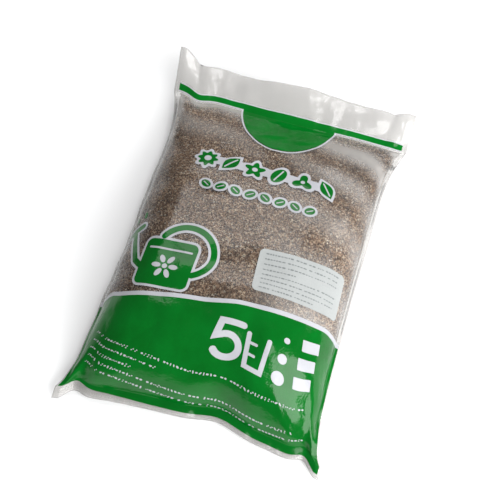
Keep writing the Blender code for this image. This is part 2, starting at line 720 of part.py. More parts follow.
def build_half_disc():
    """The green half disc that hangs under the stripe, and its thin white rim."""
    base = (DISC_MIDDLE, STRIPE_LOW - PIECE_GAP)
    build_plate("half_disc", [arc(base, DISC_RADII, 180.0, 360.0, ARC_SEGMENTS)], "green_ink")
    near = [radius + PIECE_GAP for radius in DISC_RADII]
    far = [radius + DISC_RIM for radius in near]
    near_arc = arc(base, near, 180.0, 360.0, ARC_SEGMENTS)
    far_arc = arc(base, far, 360.0, 180.0, ARC_SEGMENTS)
    build_plate("disc_rim", [np.concatenate([near_arc, far_arc])], "white_ink")


def title_outlines(grow):
    """Six plain garden marks in a row: sun, leaf, flower, seed, clover and leaf again."""
    pitch = 2 * TITLE_RADIUS + TITLE_SPACE
    line = STRIPE_LOW - TITLE_BELOW_STRIPE
    centres = [(TITLE_MIDDLE + pitch * (step - 2.5), line) for step in range(6)]
    radius = TITLE_RADIUS + grow
    share = TITLE_RADIUS / radius
    return [
        lobed(centres[0], radius, 8, 0.3 * share, 2 * ARC_SEGMENTS),
        leaf(centres[1], 2.2 * radius, 1.2 * radius, math.radians(55)),
        lobed(centres[2], radius, 5, 0.45 * share),
        ellipse(centres[3], (0.62 * radius, radius), math.radians(-20)),
        lobed(centres[4], radius, 3, 0.6 * share),
        leaf(centres[5], 2.2 * radius, 1.2 * radius, math.radians(125)),
    ]


def build_marks():
    """The two rows of marks in the middle of the front."""
    line = STRIPE_LOW - TITLE_BELOW_STRIPE
    width = 6 * (2 * TITLE_RADIUS + TITLE_SPACE) - TITLE_BAND
    band = rounded_box((TITLE_MIDDLE, line), (width, TITLE_BAND), TITLE_BAND / 3)
    build_plate("title_halo", [*title_outlines(TITLE_HALO), band], "white_ink")
    for step, outline in enumerate(title_outlines(0.0)):
        build_plate(f"title_mark_{step + 1}", [outline], "green_ink", level=1)
    pitch = 2 * SUBTITLE_SIZE[0] + SUBTITLE_SPACE
    for step in range(SUBTITLE_COUNT):
        centre = (TITLE_MIDDLE + pitch * (step - (SUBTITLE_COUNT - 1) / 2), line - SUBTITLE_BELOW_TITLE)
        turn = SUBTITLE_TURN if step % 2 else -SUBTITLE_TURN
        build_plate(f"subtitle_mark_{step + 1}", [ellipse(centre, SUBTITLE_SIZE, turn, 10)], "green_ink")


def can_centre():
    """Middle of the watering can's body, which stands just above the wave."""
    foot = wave_line(CAN_MIDDLE) + WAVE_BAND + CAN_ABOVE_WAVE + CAN_HALO
    return np.array([CAN_MIDDLE, foot + CAN_BODY[1] / 2])


def can_outlines(grow):
    """A watering can seen from the side: body, spout, rose and handle, in half sizes of its body."""
    centre = can_centre()
    half = np.array(CAN_BODY) / 2
    stroke = CAN_STROKE + 2 * grow
    body = rounded_box(centre, 2 * (half + grow), CAN_CORNER + grow, 3)
    spout = ribbon(centre + half * [(-0.6, -0.5), (-1.3, 0.0), (-1.87, 1.2)], stroke)
    rose = ribbon(centre + half * [(-2.3, 1.15), (-1.57, 1.55)], stroke)
    handle = ribbon(arc(centre + half * (0.52, 0.6), half * 1.07, *CAN_HANDLE_TURN, ARC_SEGMENTS), stroke)
    return [body, spout, rose, handle]


def build_can():
    """The garden picture: a watering can with a few drops above its rose."""
    build_plate("can_halo", can_outlines(CAN_HALO), "white_ink")
    build_plate("can_picture", can_outlines(0.0), "green_ink", level=1)
    half = np.array(CAN_BODY) / 2
    clear = (CAN_STROKE / 2 + CAN_HALO + CAN_DROP[1]) * 1.2
    for step in range(CAN_DROP_COUNT):
        centre = can_centre() + half * (-2.3 + 0.4 * step, 1.2 + 0.22 * step) + (-0.5 * clear, clear)
        build_plate(f"can_drop_{step + 1}", [ellipse(centre, CAN_DROP, 0.3, 8)], "green_ink")


def build_capacity():
    """A plain numeral and a measuring cup, both in white strokes."""
    s, l = NUMERAL_FOOT
    width, height = NUMERAL_SIZE
    bowl = height * 0.32
    path = [(s + width, l + height), (s + 0.12 * width, l + height), (s + 0.02 * width, l + 1.72 * bowl)]
    curve = arc((s + width / 2, l + bowl), (width * 0.52, bowl), *NUMERAL_BOWL_TURN, ARC_SEGMENTS)
    numeral = ribbon(np.concatenate([path, curve]), NUMERAL_STROKE)
    build_plate("capacity_numeral", [numeral], "white_ink", level=1)
    s = cup_left()
    width, height = CUP_SIZE
    sides = [(s, l + height), (s + 0.1 * width, l), (s + 0.9 * width, l), (s + width, l + height)]
    strokes = [ribbon(sides, CUP_STROKE)]
    for share in CUP_TICKS:
        tick = [(s + 0.1 * width, l + share * height), (s + 0.45 * width, l + share * height)]
        strokes.append(ribbon(tick, 0.6 * CUP_STROKE, long_ends=False))
    build_plate("measuring_cup", strokes, "white_ink", level=1)


def cup_left():
    """Left edge of the measuring cup, clear of the numeral."""
    return NUMERAL_FOOT[0] + NUMERAL_SIZE[0] + (NUMERAL_STROKE + CUP_STROKE) / 2 + MARK_SPACE


def build_choices():
    """Three white boxes with a dot beside each, for fine, middle and coarse grain."""
    dots = cup_left() + CUP_SIZE[0] + CUP_STROKE / 2 + GRAIN_DOT_SPACE + max(GRAIN_DOT_RADII)
    boxes = dots + max(GRAIN_DOT_RADII) + BOX_SPACE[0] + BOX_SIZE[0] / 2
    for step, radius in enumerate(GRAIN_DOT_RADII):
        l = BOX_TOP - step * (BOX_SIZE[1] + BOX_SPACE[1])
        box = rounded_box((boxes, l), BOX_SIZE, 0.8, 1, BOX_TURN)
        build_plate(f"choice_box_{step + 1}", [box], "white_ink", level=1)
        dot = ellipse((dots, l - GRAIN_DOT_DROP), (radius, radius), steps=10)
        build_plate(f"grain_dot_{step + 1}", [dot], "white_ink", level=1)


def build_text_lines():
    """Plain white bars where small print would run."""
    left = TEXT_MARGIN - PRINT_EDGE
    for step, share in enumerate(TEXT_SHARES):
        s = np.linspace(left, left - 2 * left * share, ARC_SEGMENTS // 2 + 1)
        sag = TEXT_SAG * ((s - TEXT_SAG_AT) / (TEXT_SAG_AT - left)) ** 2
        row = TEXT_TOP - step * (TEXT_HEIGHT + TEXT_SPACE)
        bar = ribbon(np.stack([s, row + sag], axis=-1), TEXT_HEIGHT, long_ends=False)
        build_plate(f"text_line_{step + 1}", [bar], "white_ink", level=1)


def build_label():
    """The paper label stuck on the film, above the wave."""
    line = WAVE_RIGHT + WAVE_BAND + LABEL_ABOVE_WAVE + LABEL_SIZE[1] / 2
    label = rounded_box((LABEL_MIDDLE, line), LABEL_SIZE, LABEL_CORNER, turn=LABEL_TURN)
    build_plate("paper_label", [label], "label_paper")


def main():
    """Clear the scene and build every piece."""
    for obj in list(bpy.data.objects):
        bpy.data.objects.remove(obj)
    build_film_bag()
    build_fill()
    build_fields()
    build_marks()
    build_can()
    build_capacity()
    build_choices()
    build_text_lines()
    build_label()


main()
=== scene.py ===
"""Looks of a clear film bag of vermiculite that lies on its back.

A film point is given by two lengths in millimetres, as on the film laid flat: s across the bag from
its middle line, and l along it from the foot edge. BagForm turns film points into points in space,
and every piece is built on it: the film, the print and the label on it, and the grains under it.
"""
import logging
import math
from dataclasses import dataclass
from enum import Enum
from typing import Optional, Sequence, Union

import bpy
import numpy as np
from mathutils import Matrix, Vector
from mathutils.geometry import delaunay_2d_cdt


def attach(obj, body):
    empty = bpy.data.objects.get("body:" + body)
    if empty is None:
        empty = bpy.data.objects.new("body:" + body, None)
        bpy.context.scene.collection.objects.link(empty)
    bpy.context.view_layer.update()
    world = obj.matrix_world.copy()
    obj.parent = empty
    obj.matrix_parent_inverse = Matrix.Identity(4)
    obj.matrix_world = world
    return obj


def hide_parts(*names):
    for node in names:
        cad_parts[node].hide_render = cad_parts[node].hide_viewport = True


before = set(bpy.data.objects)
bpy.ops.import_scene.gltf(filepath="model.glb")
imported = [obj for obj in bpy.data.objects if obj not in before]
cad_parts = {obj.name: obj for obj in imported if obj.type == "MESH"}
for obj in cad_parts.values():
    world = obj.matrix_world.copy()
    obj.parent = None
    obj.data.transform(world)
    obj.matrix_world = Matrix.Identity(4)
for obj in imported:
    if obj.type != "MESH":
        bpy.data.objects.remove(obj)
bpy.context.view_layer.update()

MM = 0.001
BODY = "root"
LOG = logging.getLogger("vermiculite_bag")

Point = tuple[float, float]
Triple = tuple[float, float, float]
Colour = Triple
Value = Union[float, bpy.types.NodeSocket]


class FilmSide(Enum):
    """Which of the bag's two films is meant. The value is the way it faces along Z."""

    FRONT = 1.0
    BACK = -1.0


class Fade(Enum):
    """Where a fold dies out along its own line."""

    LAST = "last"
    ENDS = "ends"


@dataclass(frozen=True)
class Fold:
    """One crease of the film, from a first film point to a last one."""

    start: Point
    end: Point
    depth: float
    reach: float
    power: float = 2.0
    fade: Fade = Fade.LAST
    end_power: float = 0.7

    def depth_at(self, s: np.ndarray, l: np.ndarray) -> np.ndarray:
        """Depth of this fold at film points.

        Args:
            s: lengths across the film.
            l: lengths along the film.

        Returns:
            The depth in millimetres, below zero on a ridge.
        """
        run_s, run_l = self.end[0] - self.start[0], self.end[1] - self.start[1]
        along = (s - self.start[0]) * run_s + (l - self.start[1]) * run_l
        share = np.clip(along / (run_s ** 2 + run_l ** 2), 0.0, 1.0)
        apart = np.hypot(s - self.start[0] - share * run_s, l - self.start[1] - share * run_l)
        if self.fade is Fade.LAST:
            strength = 1.0 - share ** 2
        else:
            strength = np.sin(math.pi * share) ** self.end_power
        return self.depth * strength * np.exp(-(apart / self.reach) ** self.power)


def slope_law(last_slope: float, power: float, segments: int = 400) -> tuple[np.ndarray, ...]:
    """A film line whose slope grows from nothing to its last slope.

    Args:
        last_slope: the slope at the seam, in radians.
        power: how late the slope grows.
        segments: steps along the line.

    Returns:
        Shares of the way, and the plan distance and the height there.
    """
    share = np.linspace(0.0, 1.0, segments + 1)
    slope = last_slope * share ** power
    plan = np.concatenate([[0.0], np.cumsum((np.cos(slope)[1:] + np.cos(slope)[:-1]) / 2)])
    fall = np.concatenate([[0.0], np.cumsum((np.sin(slope)[1:] + np.sin(slope)[:-1]) / 2)])
    return share, plan / plan[-1], 1.0 - fall / fall[-1]


def triangle_wave(turns: np.ndarray) -> np.ndarray:
    """A wave with straight flanks, from -1 to 1, once a turn."""
    return 4.0 * np.abs(turns - np.floor(turns + 0.5)) - 1.0


@dataclass(frozen=True)
class Crumple:
    """Small flat facets with sharp edges between them, as stiff thin film makes."""

    pitch: float
    seed: int
    layers: int = 4
    tilts: Point = (0.7, 1.5)
    skew: float = 0.9
    stretch: float = 1.9
    bend: Point = (0.35, 0.7)
    cross_share: float = 0.4

    def rise_at(self, s: np.ndarray, l: np.ndarray) -> np.ndarray:
        """Rise of the facets at film points.

        Args:
            s: lengths across the film.
            l: lengths along the film.

        Returns:
            The rise, from about -1 to 1.
        """
        draw = np.random.default_rng(self.seed)
        total = np.zeros_like(s)
        for _ in range(self.layers):
            turn, tilt = draw.uniform(0.0, math.pi), draw.uniform(*self.tilts)
            phases = draw.uniform(0.0, 1.0, 4)
            first = (s * math.cos(turn) + l * math.sin(turn)) / (self.pitch * tilt)
            across = turn + self.skew
            second = (l * math.cos(across) - s * math.sin(across)) / (self.pitch * self.stretch)
            bend = self.bend[0] * np.sin(2 * math.pi * (second * self.bend[1] + phases[0]))
            cross = 1.0 - self.cross_share + self.cross_share * triangle_wave(second + phases[2])
            total += triangle_wave(first + bend + phases[1]) * cross
        return total / self.layers ** 0.5


@dataclass
class BagForm:
    """Shape of the filled bag, in millimetres.

    It is the construction's form with finer detail: the small folds and crumples, the lean of the
    side welds and the dip at the head seam are here only.
    """

    film_width: float = 280.0
    film_length: float = 420.0
    wall: float = 0.3
    side_weld: float = 6.0
    foot_weld: float = 12.0
    header: float = 38.0
    plan_length: float = 370.0
    side_pull: float = 12.5
    side_pull_power: float = 5.0
    foot_bow: float = 19.0
    head_bow: float = 4.5
    crown_at: float = 168.0
    crown_rise: float = 56.0
    seam_height: float = 22.0
    foot_height: float = 9.0
    head_height: float = 20.0
    header_tilt: float = math.radians(26)
    foot_droop: float = 0.3
    side_slope: Point = (math.radians(76), 2.4)
    foot_slope: Point = (math.radians(66), 2.8)
    head_slope: Point = (math.radians(40), 0.85)
    base_share: float = 0.1
    weld_lean: Point = (math.radians(58), math.radians(46))
    dent_rise: float = 0.9
    facet_rise: float = 1.1
    facet_floor: float = 0.35
    facet_reach: Triple = (20.0, 24.0, 26.0)
    flap_reach: Point = (14.0, 8.0)
    flap_fine: float = 0.8
    back_fine: Point = (0.4, 10.0)
    seam_calm: float = 10.0
    fine_rise: float = 0.45
    fine_floor: float = 0.1
    lean_power: int = 6
    lean_wave: Point = (0.15, 23.0)
    pucker: tuple[float, float, float, float] = (2.2, 37.0, 16.0, 4.0)
    pucker_calm: Point = (0.45, 61.0)
    pucker_sway: Point = (5.0, 29.0)
    header_wave: Triple = (4.0, 118.0, 20.0)
    header_arch: float = 7.0
    corner_curl: Point = (22.0, 30.0)
    lump: Point = (1.2, 88.0)
    foot_kink: Triple = (7.0, 24.0, 22.0)
    ear_pinch: Triple = (7.0, 110.0, 12.0)
    head_dip_from: float = 330.0
    head_fold: Triple = (5.0, -96.0, 13.0)
    head_end: Triple = (5.0, 60.0, 70.0)
    broad_crumple: Crumple = Crumple(34.0, 11)
    fine_crumple: Crumple = Crumple(13.0, 23)
    soft_dents: Crumple = Crumple(64.0, 5, 3)
    folds: tuple[Fold, ...] = (
        Fold((-106.0, 420.0), (-82.0, 352.0), 7.0, 9.0, 1.5),
        Fold((104.0, 420.0), (100.0, 356.0), 6.0, 9.0, 1.5),
        Fold((26.0, 0.0), (34.0, 40.0), 5.0, 9.0, 1.5),
        Fold((-60.0, 384.0), (-48.0, 330.0), 2.5, 8.0, 1.3),
        Fold((122.0, 20.0), (92.0, 92.0), 3.0, 9.0, 1.2),
        Fold((104.0, 421.0), (141.0, 385.0), -2.2, 5.0, 1.0, Fade.ENDS),
        Fold((44.0, 409.0), (98.0, 394.0), -2.0, 6.0, 1.0, Fade.ENDS),
        Fold((98.0, 394.0), (74.0, 421.0), -1.4, 5.0, 1.0),
        Fold((-134.0, 372.0), (-104.0, 318.0), 2.0, 4.0, 1.1),
        Fold((-134.0, 340.0), (-112.0, 262.0), 1.8, 4.0, 1.1),
        Fold((-136.0, 150.0), (-112.0, 118.0), 1.6, 5.0, 1.1),
        Fold((134.0, 360.0), (104.0, 322.0), 1.8, 5.0, 1.1),
        Fold((133.0, 250.0), (116.0, 214.0), 1.3, 5.0, 1.1),
        Fold((134.0, 126.0), (104.0, 84.0), 1.6, 4.0, 1.1),
        Fold((136.0, 70.0), (108.0, 40.0), 1.8, 5.0, 1.1),
        Fold((120.0, 6.0), (70.0, 62.0), 1.5, 4.0, 1.1),
        Fold((-78.0, 10.0), (-52.0, 34.0), 2.2, 5.0, 1.1),
        Fold((-30.0, 10.0), (-2.0, 22.0), 2.0, 5.0, 1.1),
        Fold((66.0, 10.0), (58.0, 46.0), 1.8, 5.0, 1.1),
        Fold((-112.0, 8.0), (-98.0, 46.0), 1.8, 5.0, 1.1),
        Fold((52.0, 104.0), (99.0, 4.0), -2.0, 9.0, 1.0, Fade.ENDS),
        Fold((84.0, 96.0), (112.0, 30.0), 1.0, 6.0, 1.0, Fade.ENDS),
        Fold((66.0, 58.0), (112.0, 60.0), 0.9, 5.0, 1.0, Fade.ENDS),
        Fold((-58.0, 371.0), (66.0, 375.0), 0.9, 4.5, 1.0, Fade.ENDS),
        Fold((-74.0, 60.0), (-42.0, 94.0), 0.7, 4.5, 1.0, Fade.ENDS),
        Fold((-52.0, 22.0), (-16.0, 42.0), 0.8, 4.5, 1.0, Fade.ENDS),
        Fold((-96.0, 352.0), (-62.0, 300.0), 0.9, 6.0, 1.0, Fade.ENDS),
    )

    def __post_init__(self) -> None:
        """Work out the seams and the slope laws."""
        self.seam = self.film_width / 2 - self.side_weld
        self.head_seam = self.film_length - self.header
        self.body_centre = (self.foot_weld + self.head_seam) / 2
        self.body_half = (self.head_seam - self.foot_weld) / 2
        self.side_law = slope_law(*self.side_slope)
        self.foot_law = slope_law(*self.foot_slope)
        self.head_law = slope_law(*self.head_slope)

    def crown_share(self, l: np.ndarray) -> np.ndarray:
        """Where l lies between the crown, 0, and the foot seam, -1, or the head seam, 1.

        Args:
            l: lengths along the film.

        Returns:
            The share of the way.
        """
        foot_run = (l - self.crown_at) / (self.crown_at - self.foot_weld)
        head_run = (l - self.crown_at) / (self.head_seam - self.crown_at)
        return np.clip(np.where(l < self.crown_at, foot_run, head_run), -1.0, 1.0)

    def middle_share(self, l: np.ndarray) -> np.ndarray:
        """Where l lies between the foot seam, -1, and the head seam, 1."""
        return np.clip((l - self.body_centre) / self.body_half, -1.0, 1.0)

    def along_law(self, along: np.ndarray, part: int) -> np.ndarray:
        """Plan distance, part 1, or fullness, part 2, on the way from the crown to a seam.

        Args:
            along: share of the way, below zero towards the foot.
            part: which of the law's two lines is read.

        Returns:
            That line's values.
        """
        to_foot = np.interp(np.abs(along), self.foot_law[0], self.foot_law[part])
        to_head = np.interp(np.abs(along), self.head_law[0], self.head_law[part])
        return np.where(along < 0.0, to_foot, to_head)

    def across_law(self, s: np.ndarray, part: int) -> np.ndarray:
        """Plan distance, part 1, or fullness, part 2, from the middle line to the side seam."""
        return np.interp(np.clip(np.abs(s) / self.seam, 0.0, 1.0), self.side_law[0], self.side_law[part])

    def head_dip(self, s: np.ndarray, l: np.ndarray) -> np.ndarray:
        """How far the film is drawn down at the head seam: in the left fold, and at the right end.

        Args:
            s: lengths across the film.
            l: lengths along the film.

        Returns:
            The distance, against Y.
        """
        near = np.clip((l - self.head_dip_from) / (self.head_seam - self.head_dip_from), 0.0, 1.0)
        near = near * near * (3.0 - 2.0 * near)
        depth, place, reach = self.head_fold
        fold = depth * np.exp(-((s - place) / reach) ** 2)
        depth, place, reach = self.head_end
        end = depth * np.clip((s - place) / reach, 0.0, 1.0) ** 1.5 * (1.0 - self.header_share(l))
        return near * (fold + end)

    def plan_point(self, s: np.ndarray, l: np.ndarray) -> tuple[np.ndarray, np.ndarray]:
        """Where film points lie on the table's plan.

        Args:
            s: lengths across the film.
            l: lengths along the film.

        Returns:
            Their X and Y.
        """
        half_share = s / (self.film_width / 2)
        half_width = self.seam - self.side_pull * (1.0 - np.abs(self.middle_share(l)) ** self.side_pull_power)
        x = half_width * self.across_law(s, 1)
        x = np.sign(s) * (x + np.clip(np.abs(s) - self.seam, 0.0, None) * np.cos(self.lean(s, l)))
        kink = self.foot_kink[0] * np.exp(-((s - self.foot_kink[1]) / self.foot_kink[2]) ** 2)
        ears = self.ear_pinch[0] * np.exp(-((np.abs(s) - self.ear_pinch[1]) / self.ear_pinch[2]) ** 2)
        bow = self.foot_bow * (1.0 - half_share ** 2) + kink + ears
        reach = self.head_seam - self.foot_weld
        crown_y = self.plan_length * ((self.crown_at - self.foot_weld) / reach - 0.5)
        to_foot = self.plan_length / 2 + crown_y - bow
        to_head = self.plan_length / 2 - crown_y - self.head_bow * (1.0 - half_share ** 2)
        along = self.crown_share(l)
        y = crown_y + self.along_law(along, 1) * np.where(along < 0.0, -to_foot, to_head)
        y = y - np.clip(self.foot_weld - l, 0.0, None)
        y = y + np.clip(l - self.head_seam, 0.0, None) * math.cos(self.header_tilt) - self.head_dip(s, l)
        return x, y + (self.foot_weld - self.header * math.cos(self.header_tilt)) / 2

    def lean(self, s: np.ndarray, l: np.ndarray) -> np.ndarray:
        """How steeply the side welds lean down, which dies out at the bag's corners.

        Args:
            s: lengths across the film.
            l: lengths along the film.

        Returns:
            The lean, in radians.
        """
        share, pitch = self.lean_wave
        side = np.where(s < 0.0, *self.weld_lean)
        calm = 1.0 - np.abs(self.middle_share(l)) ** self.lean_power
        return side * calm * (1.0 - share + share * np.sin(l / pitch))

    def header_share(self, l: np.ndarray) -> np.ndarray:
        """How far up the header l lies, from 0 at the head seam to 1 at its edge."""
        return np.clip((l - self.head_seam) / self.header, 0.0, 1.0)

    def flap_rise(self, s: np.ndarray, l: np.ndarray) -> np.ndarray:
        """Rise of the header and droop of the foot, which both films share.

        Args:
            s: lengths across the film.
            l: lengths along the film.

        Returns:
            The rise in millimetres.
        """
        over = np.clip(l - self.head_seam, 0.0, None)
        share = over / self.header
        height, pitch, shift = self.header_wave
        wave = height * np.sin(2.0 * math.pi * (s + shift) / pitch)
        arch = self.header_arch * (1.0 - (s / (self.film_width / 2)) ** 2)
        curl = self.corner_curl[0] * np.exp(-((s + self.film_width / 2) / self.corner_curl[1]) ** 2) * share
        rise = over * math.sin(self.header_tilt) + share * (wave + arch) + curl
        rise = rise - np.clip(np.abs(s) - self.seam, 0.0, None) * np.sin(self.lean(s, l))
        return rise - np.clip(self.foot_weld - l, 0.0, None) * self.foot_droop

    def seam_pucker(self, s: np.ndarray, l: np.ndarray) -> np.ndarray:
        """Waves that run in from the side seams and die out on the body.

        Args:
            s: lengths across the film.
            l: lengths along the film.

        Returns:
            The rise in millimetres.
        """
        rise, pitch, reach, shift = self.pucker
        inward = np.exp(-np.abs(self.seam - np.abs(s)) / reach)
        run = l + np.where(s < 0.0, shift, 0.0)
        share, calm_pitch = self.pucker_calm
        calm = 1.0 - share + share * np.sin(run / calm_pitch + np.sign(s))
        sway = self.pucker_sway[0] * np.sin(run / self.pucker_sway[1])
        return rise * calm * inward * np.sin(2.0 * math.pi * (run + sway) / pitch)

    def seam_level(self, l: np.ndarray) -> np.ndarray:
        """Height of the side seam above the table.

        Args:
            l: lengths along the film.

        Returns:
            The height in millimetres.
        """
        middle = self.middle_share(l)
        end_height = np.where(middle < 0.0, self.foot_height, self.head_height)
        rise = np.interp(np.abs(middle), self.foot_law[0], self.foot_law[2])
        return end_height + (self.seam_height - end_height) * rise

    def crease_depth(self, s: np.ndarray, l: np.ndarray) -> np.ndarray:
        """Depth of all folds together."""
        return sum(fold.depth_at(s, l) for fold in self.folds)

    def inside(self, s: np.ndarray, l: np.ndarray, reach: float) -> np.ndarray:
        """From 0 at the seams to 1 once a reach inside them."""
        edge = np.minimum.reduce([self.seam - np.abs(s), l - self.foot_weld, self.head_seam - l])
        return np.clip(edge / reach, 0.0, 1.0)

    def flap_crumple(self, s: np.ndarray, l: np.ndarray) -> np.ndarray:
        """Crumples of the header and the foot flange, which both films share.

        Args:
            s: lengths across the film.
            l: lengths along the film.

        Returns:
            The rise in millimetres.
        """
        head = np.clip((l - self.head_seam) / self.flap_reach[0], 0.0, 1.0)
        foot = np.clip((self.foot_weld - l) / self.flap_reach[1], 0.0, 1.0)
        broad, fine = self.broad_crumple.rise_at(s, l), self.fine_crumple.rise_at(s, l)
        return (head + foot) * (self.facet_rise * broad + self.flap_fine * self.fine_rise * fine)

    def front_crumple(self, s: np.ndarray, l: np.ndarray) -> np.ndarray:
        """Crumples and dents of the front film over the grains.

        Args:
            s: lengths across the film.
            l: lengths along the film.

        Returns:
            The rise in millimetres.
        """
        side = np.exp(-(self.seam - np.abs(s)).clip(0.0) / self.facet_reach[0])
        foot = np.exp(-(l - self.foot_weld).clip(0.0) / self.facet_reach[1])
        head = np.exp(-(self.head_seam - l).clip(0.0) / self.facet_reach[2])
        near = np.maximum.reduce([side, foot, head])
        rise = self.dent_rise * self.soft_dents.rise_at(s, l)
        rise = rise + np.maximum(near, self.facet_floor) * self.facet_rise * self.broad_crumple.rise_at(s, l)
        rise = rise + (near * self.fine_rise + self.fine_floor) * self.fine_crumple.rise_at(s, l)
        return self.inside(s, l, self.seam_calm) * rise

    def front(self, s: np.ndarray, l: np.ndarray) -> np.ndarray:
        """Outer face of the front film.

        Args:
            s: lengths across the film.
            l: lengths along the film.

        Returns:
            An array of X, Y and Z in millimetres.
        """
        x, y = self.plan_point(s, l)
        fullness = self.across_law(s, 2) * self.along_law(self.crown_share(l), 2)
        height, pitch = self.lump
        lumps = height * np.sin(2.0 * math.pi * (s + l) / pitch) * np.cos(2.0 * math.pi * (s - l) / pitch)
        room = np.maximum(np.sqrt(fullness), self.header_share(l))
        z = self.seam_level(l) + self.wall + (self.crown_rise + lumps) * fullness
        z = z + self.flap_rise(s, l) + self.seam_pucker(s, l) - self.crease_depth(s, l) * room
        z = z + self.flap_crumple(s, l) + self.front_crumple(s, l)
        return np.stack([x, y, z], axis=-1)

    def back(self, s: np.ndarray, l: np.ndarray) -> np.ndarray:
        """Outer face of the back film, flat on the table under most of the bag.

        Args:
            s: lengths across the film.
            l: lengths along the film.

        Returns:
            An array of X, Y and Z in millimetres.
        """
        x, y = self.plan_point(s, l)
        full_across = self.across_law(s, 2)
        full_under = np.interp(np.abs(self.middle_share(l)), self.foot_law[0], self.foot_law[2])
        away = 1.0 - (1.0 - (1.0 - full_across) ** 2) * (1.0 - (1.0 - full_under) ** 2)
        lift = np.clip((away - self.base_share) / (1.0 - self.base_share), 0.0, 1.0)
        shared = self.flap_rise(s, l) + self.seam_pucker(s, l) + self.flap_crumple(s, l)
        share, reach = self.back_fine
        small = share * lift * self.inside(s, l, reach) * self.fine_crumple.rise_at(s, l)
        z = lift * (self.seam_level(l) - self.wall + shared) - small
        z = z - self.crease_depth(s, l) * self.header_share(l)
        return np.stack([x, y, z.clip(0.0)], axis=-1)

    def surface(self, side: FilmSide, s: np.ndarray, l: np.ndarray) -> np.ndarray:
        """Outer face of one film."""
        return self.front(s, l) if side is FilmSide.FRONT else self.back(s, l)

    def normals(self, side: FilmSide, s: np.ndarray, l: np.ndarray, step: float = 0.6) -> np.ndarray:
        """Unit normals of one film, pointing out of the bag.

        Args:
            side: the film.
            s: lengths across the film.
            l: lengths along the film.
            step: half the distance over which the slope is read.

        Returns:
            An array of unit vectors.
        """
        half = self.film_width / 2
        low_s, high_s = np.clip(s - step, -half, half), np.clip(s + step, -half, half)
        low_l, high_l = np.clip(l - step, 0.0, self.film_length), np.clip(l + step, 0.0, self.film_length)
        across = self.surface(side, high_s, l) - self.surface(side, low_s, l)
        along = self.surface(side, s, high_l) - self.surface(side, s, low_l)
        normal = np.cross(across, along) * side.value
        return normal / np.linalg.norm(normal, axis=-1, keepdims=True)


class NodeBoard:
    """Builds one node material."""

    def __init__(self, name: str) -> None:
        """Start an empty node material.

        Args:
            name: the material's name.
        """
        self.material = bpy.data.materials.new(name)
        self.material.use_nodes = True
        self.nodes = self.material.node_tree.nodes
        self.links = self.material.node_tree.links
        self.nodes.clear()
        self.output = self.nodes.new("ShaderNodeOutputMaterial")

    def add(self, kind: str, inputs: Optional[dict] = None, **settings: object) -> bpy.types.Node:
        """Add one node.

        Args:
            kind: Blender's name for the node.
            inputs: socket name or number to a value, or to a socket that is linked.
            settings: the node's own settings.

        Returns:
            The node.
        """
        node = self.nodes.new(kind)
        for key, value in settings.items():
            setattr(node, key, value)
        for key, value in (inputs or {}).items():
            if isinstance(value, bpy.types.NodeSocket):
                self.links.new(value, node.inputs[key])
            else:
                node.inputs[key].default_value = value
        return node

    def place(self) -> bpy.types.NodeSocket:
        """The object's own coordinates, in metres."""
        return self.add("ShaderNodeTexCoord").outputs["Object"]

    def ramp(self, factor: bpy.types.NodeSocket,
             stops: Sequence[tuple[float, Colour]]) -> bpy.types.NodeSocket:
        """A colour ramp.

        Args:
            factor: the socket that drives it.
            stops: place and colour of each stop.

        Returns:
            The colour socket.
        """
        node = self.add("ShaderNodeValToRGB", {"Fac": factor})
        elements = node.color_ramp.elements
        while len(elements) < len(stops):
            elements.new(0.5)
        for element, (where, colour) in zip(elements, stops):
            element.position = where
            element.color = (*colour, 1.0)
        return node.outputs["Color"]

    def math(self, operation: str, first: Value, second: Value) -> bpy.types.NodeSocket:
        """One sum of two values or sockets."""
        return self.add("ShaderNodeMath", {0: first, 1: second}, operation=operation).outputs[0]

    def attribute(self, name: str) -> bpy.types.NodeSocket:
        """A number that the mesh stores for each point."""
        return self.add("ShaderNodeAttribute", attribute_name=name).outputs["Fac"]

    def noise(self, scale: float, detail: float) -> bpy.types.NodeSocket:
        """A cloudy pattern over the object's own coordinates."""
        inputs = {"Vector": self.place(), "Scale": scale, "Detail": detail}
        return self.add("ShaderNodeTexNoise", inputs).outputs["Fac"]

    def span(self, value: bpy.types.NodeSocket, before: Point, after: Point) -> bpy.types.NodeSocket:
        """Stretch a value from one span to another.

        Args:
            value: the socket.
            before: the two ends that it has.
            after: the two ends that it gets.

        Returns:
            The stretched socket.
        """
        inputs = {"Value": value, "From Min": before[0], "From Max": before[1],
                  "To Min": after[0], "To Max": after[1]}
        return self.add("ShaderNodeMapRange", inputs).outputs[0]

    def bump(self, height: bpy.types.NodeSocket, distance: float, strength: float,
             normal: Optional[bpy.types.NodeSocket] = None) -> bpy.types.NodeSocket:
        """A bump from a height.

        Args:
            height: the height socket, from 0 to 1.
            distance: the full height in metres.
            strength: how much of it shows.
            normal: an earlier bump to add to.

        Returns:
            The normal socket.
        """
        inputs = {"Height": height, "Distance": distance, "Strength": strength}
        if normal is not None:
            inputs["Normal"] = normal
        return self.add("ShaderNodeBump", inputs).outputs["Normal"]

    def close(self, shader: bpy.types.NodeSocket) -> bpy.types.Material:
        """Link the last shader to the output and return the material."""
        self.links.new(shader, self.output.inputs["Surface"])
        return self.material

    def solid(self, inputs: dict) -> bpy.types.Material:
        """Close the material with one solid surface."""
        return self.close(self.add("ShaderNodeBsdfPrincipled", inputs).outputs[0])


PRESSED = "pressed"
PAINTED_REFLECTION = "painted_reflection"
GRAIN_AND_GLINT_TONE = "grain_and_glint_tone"


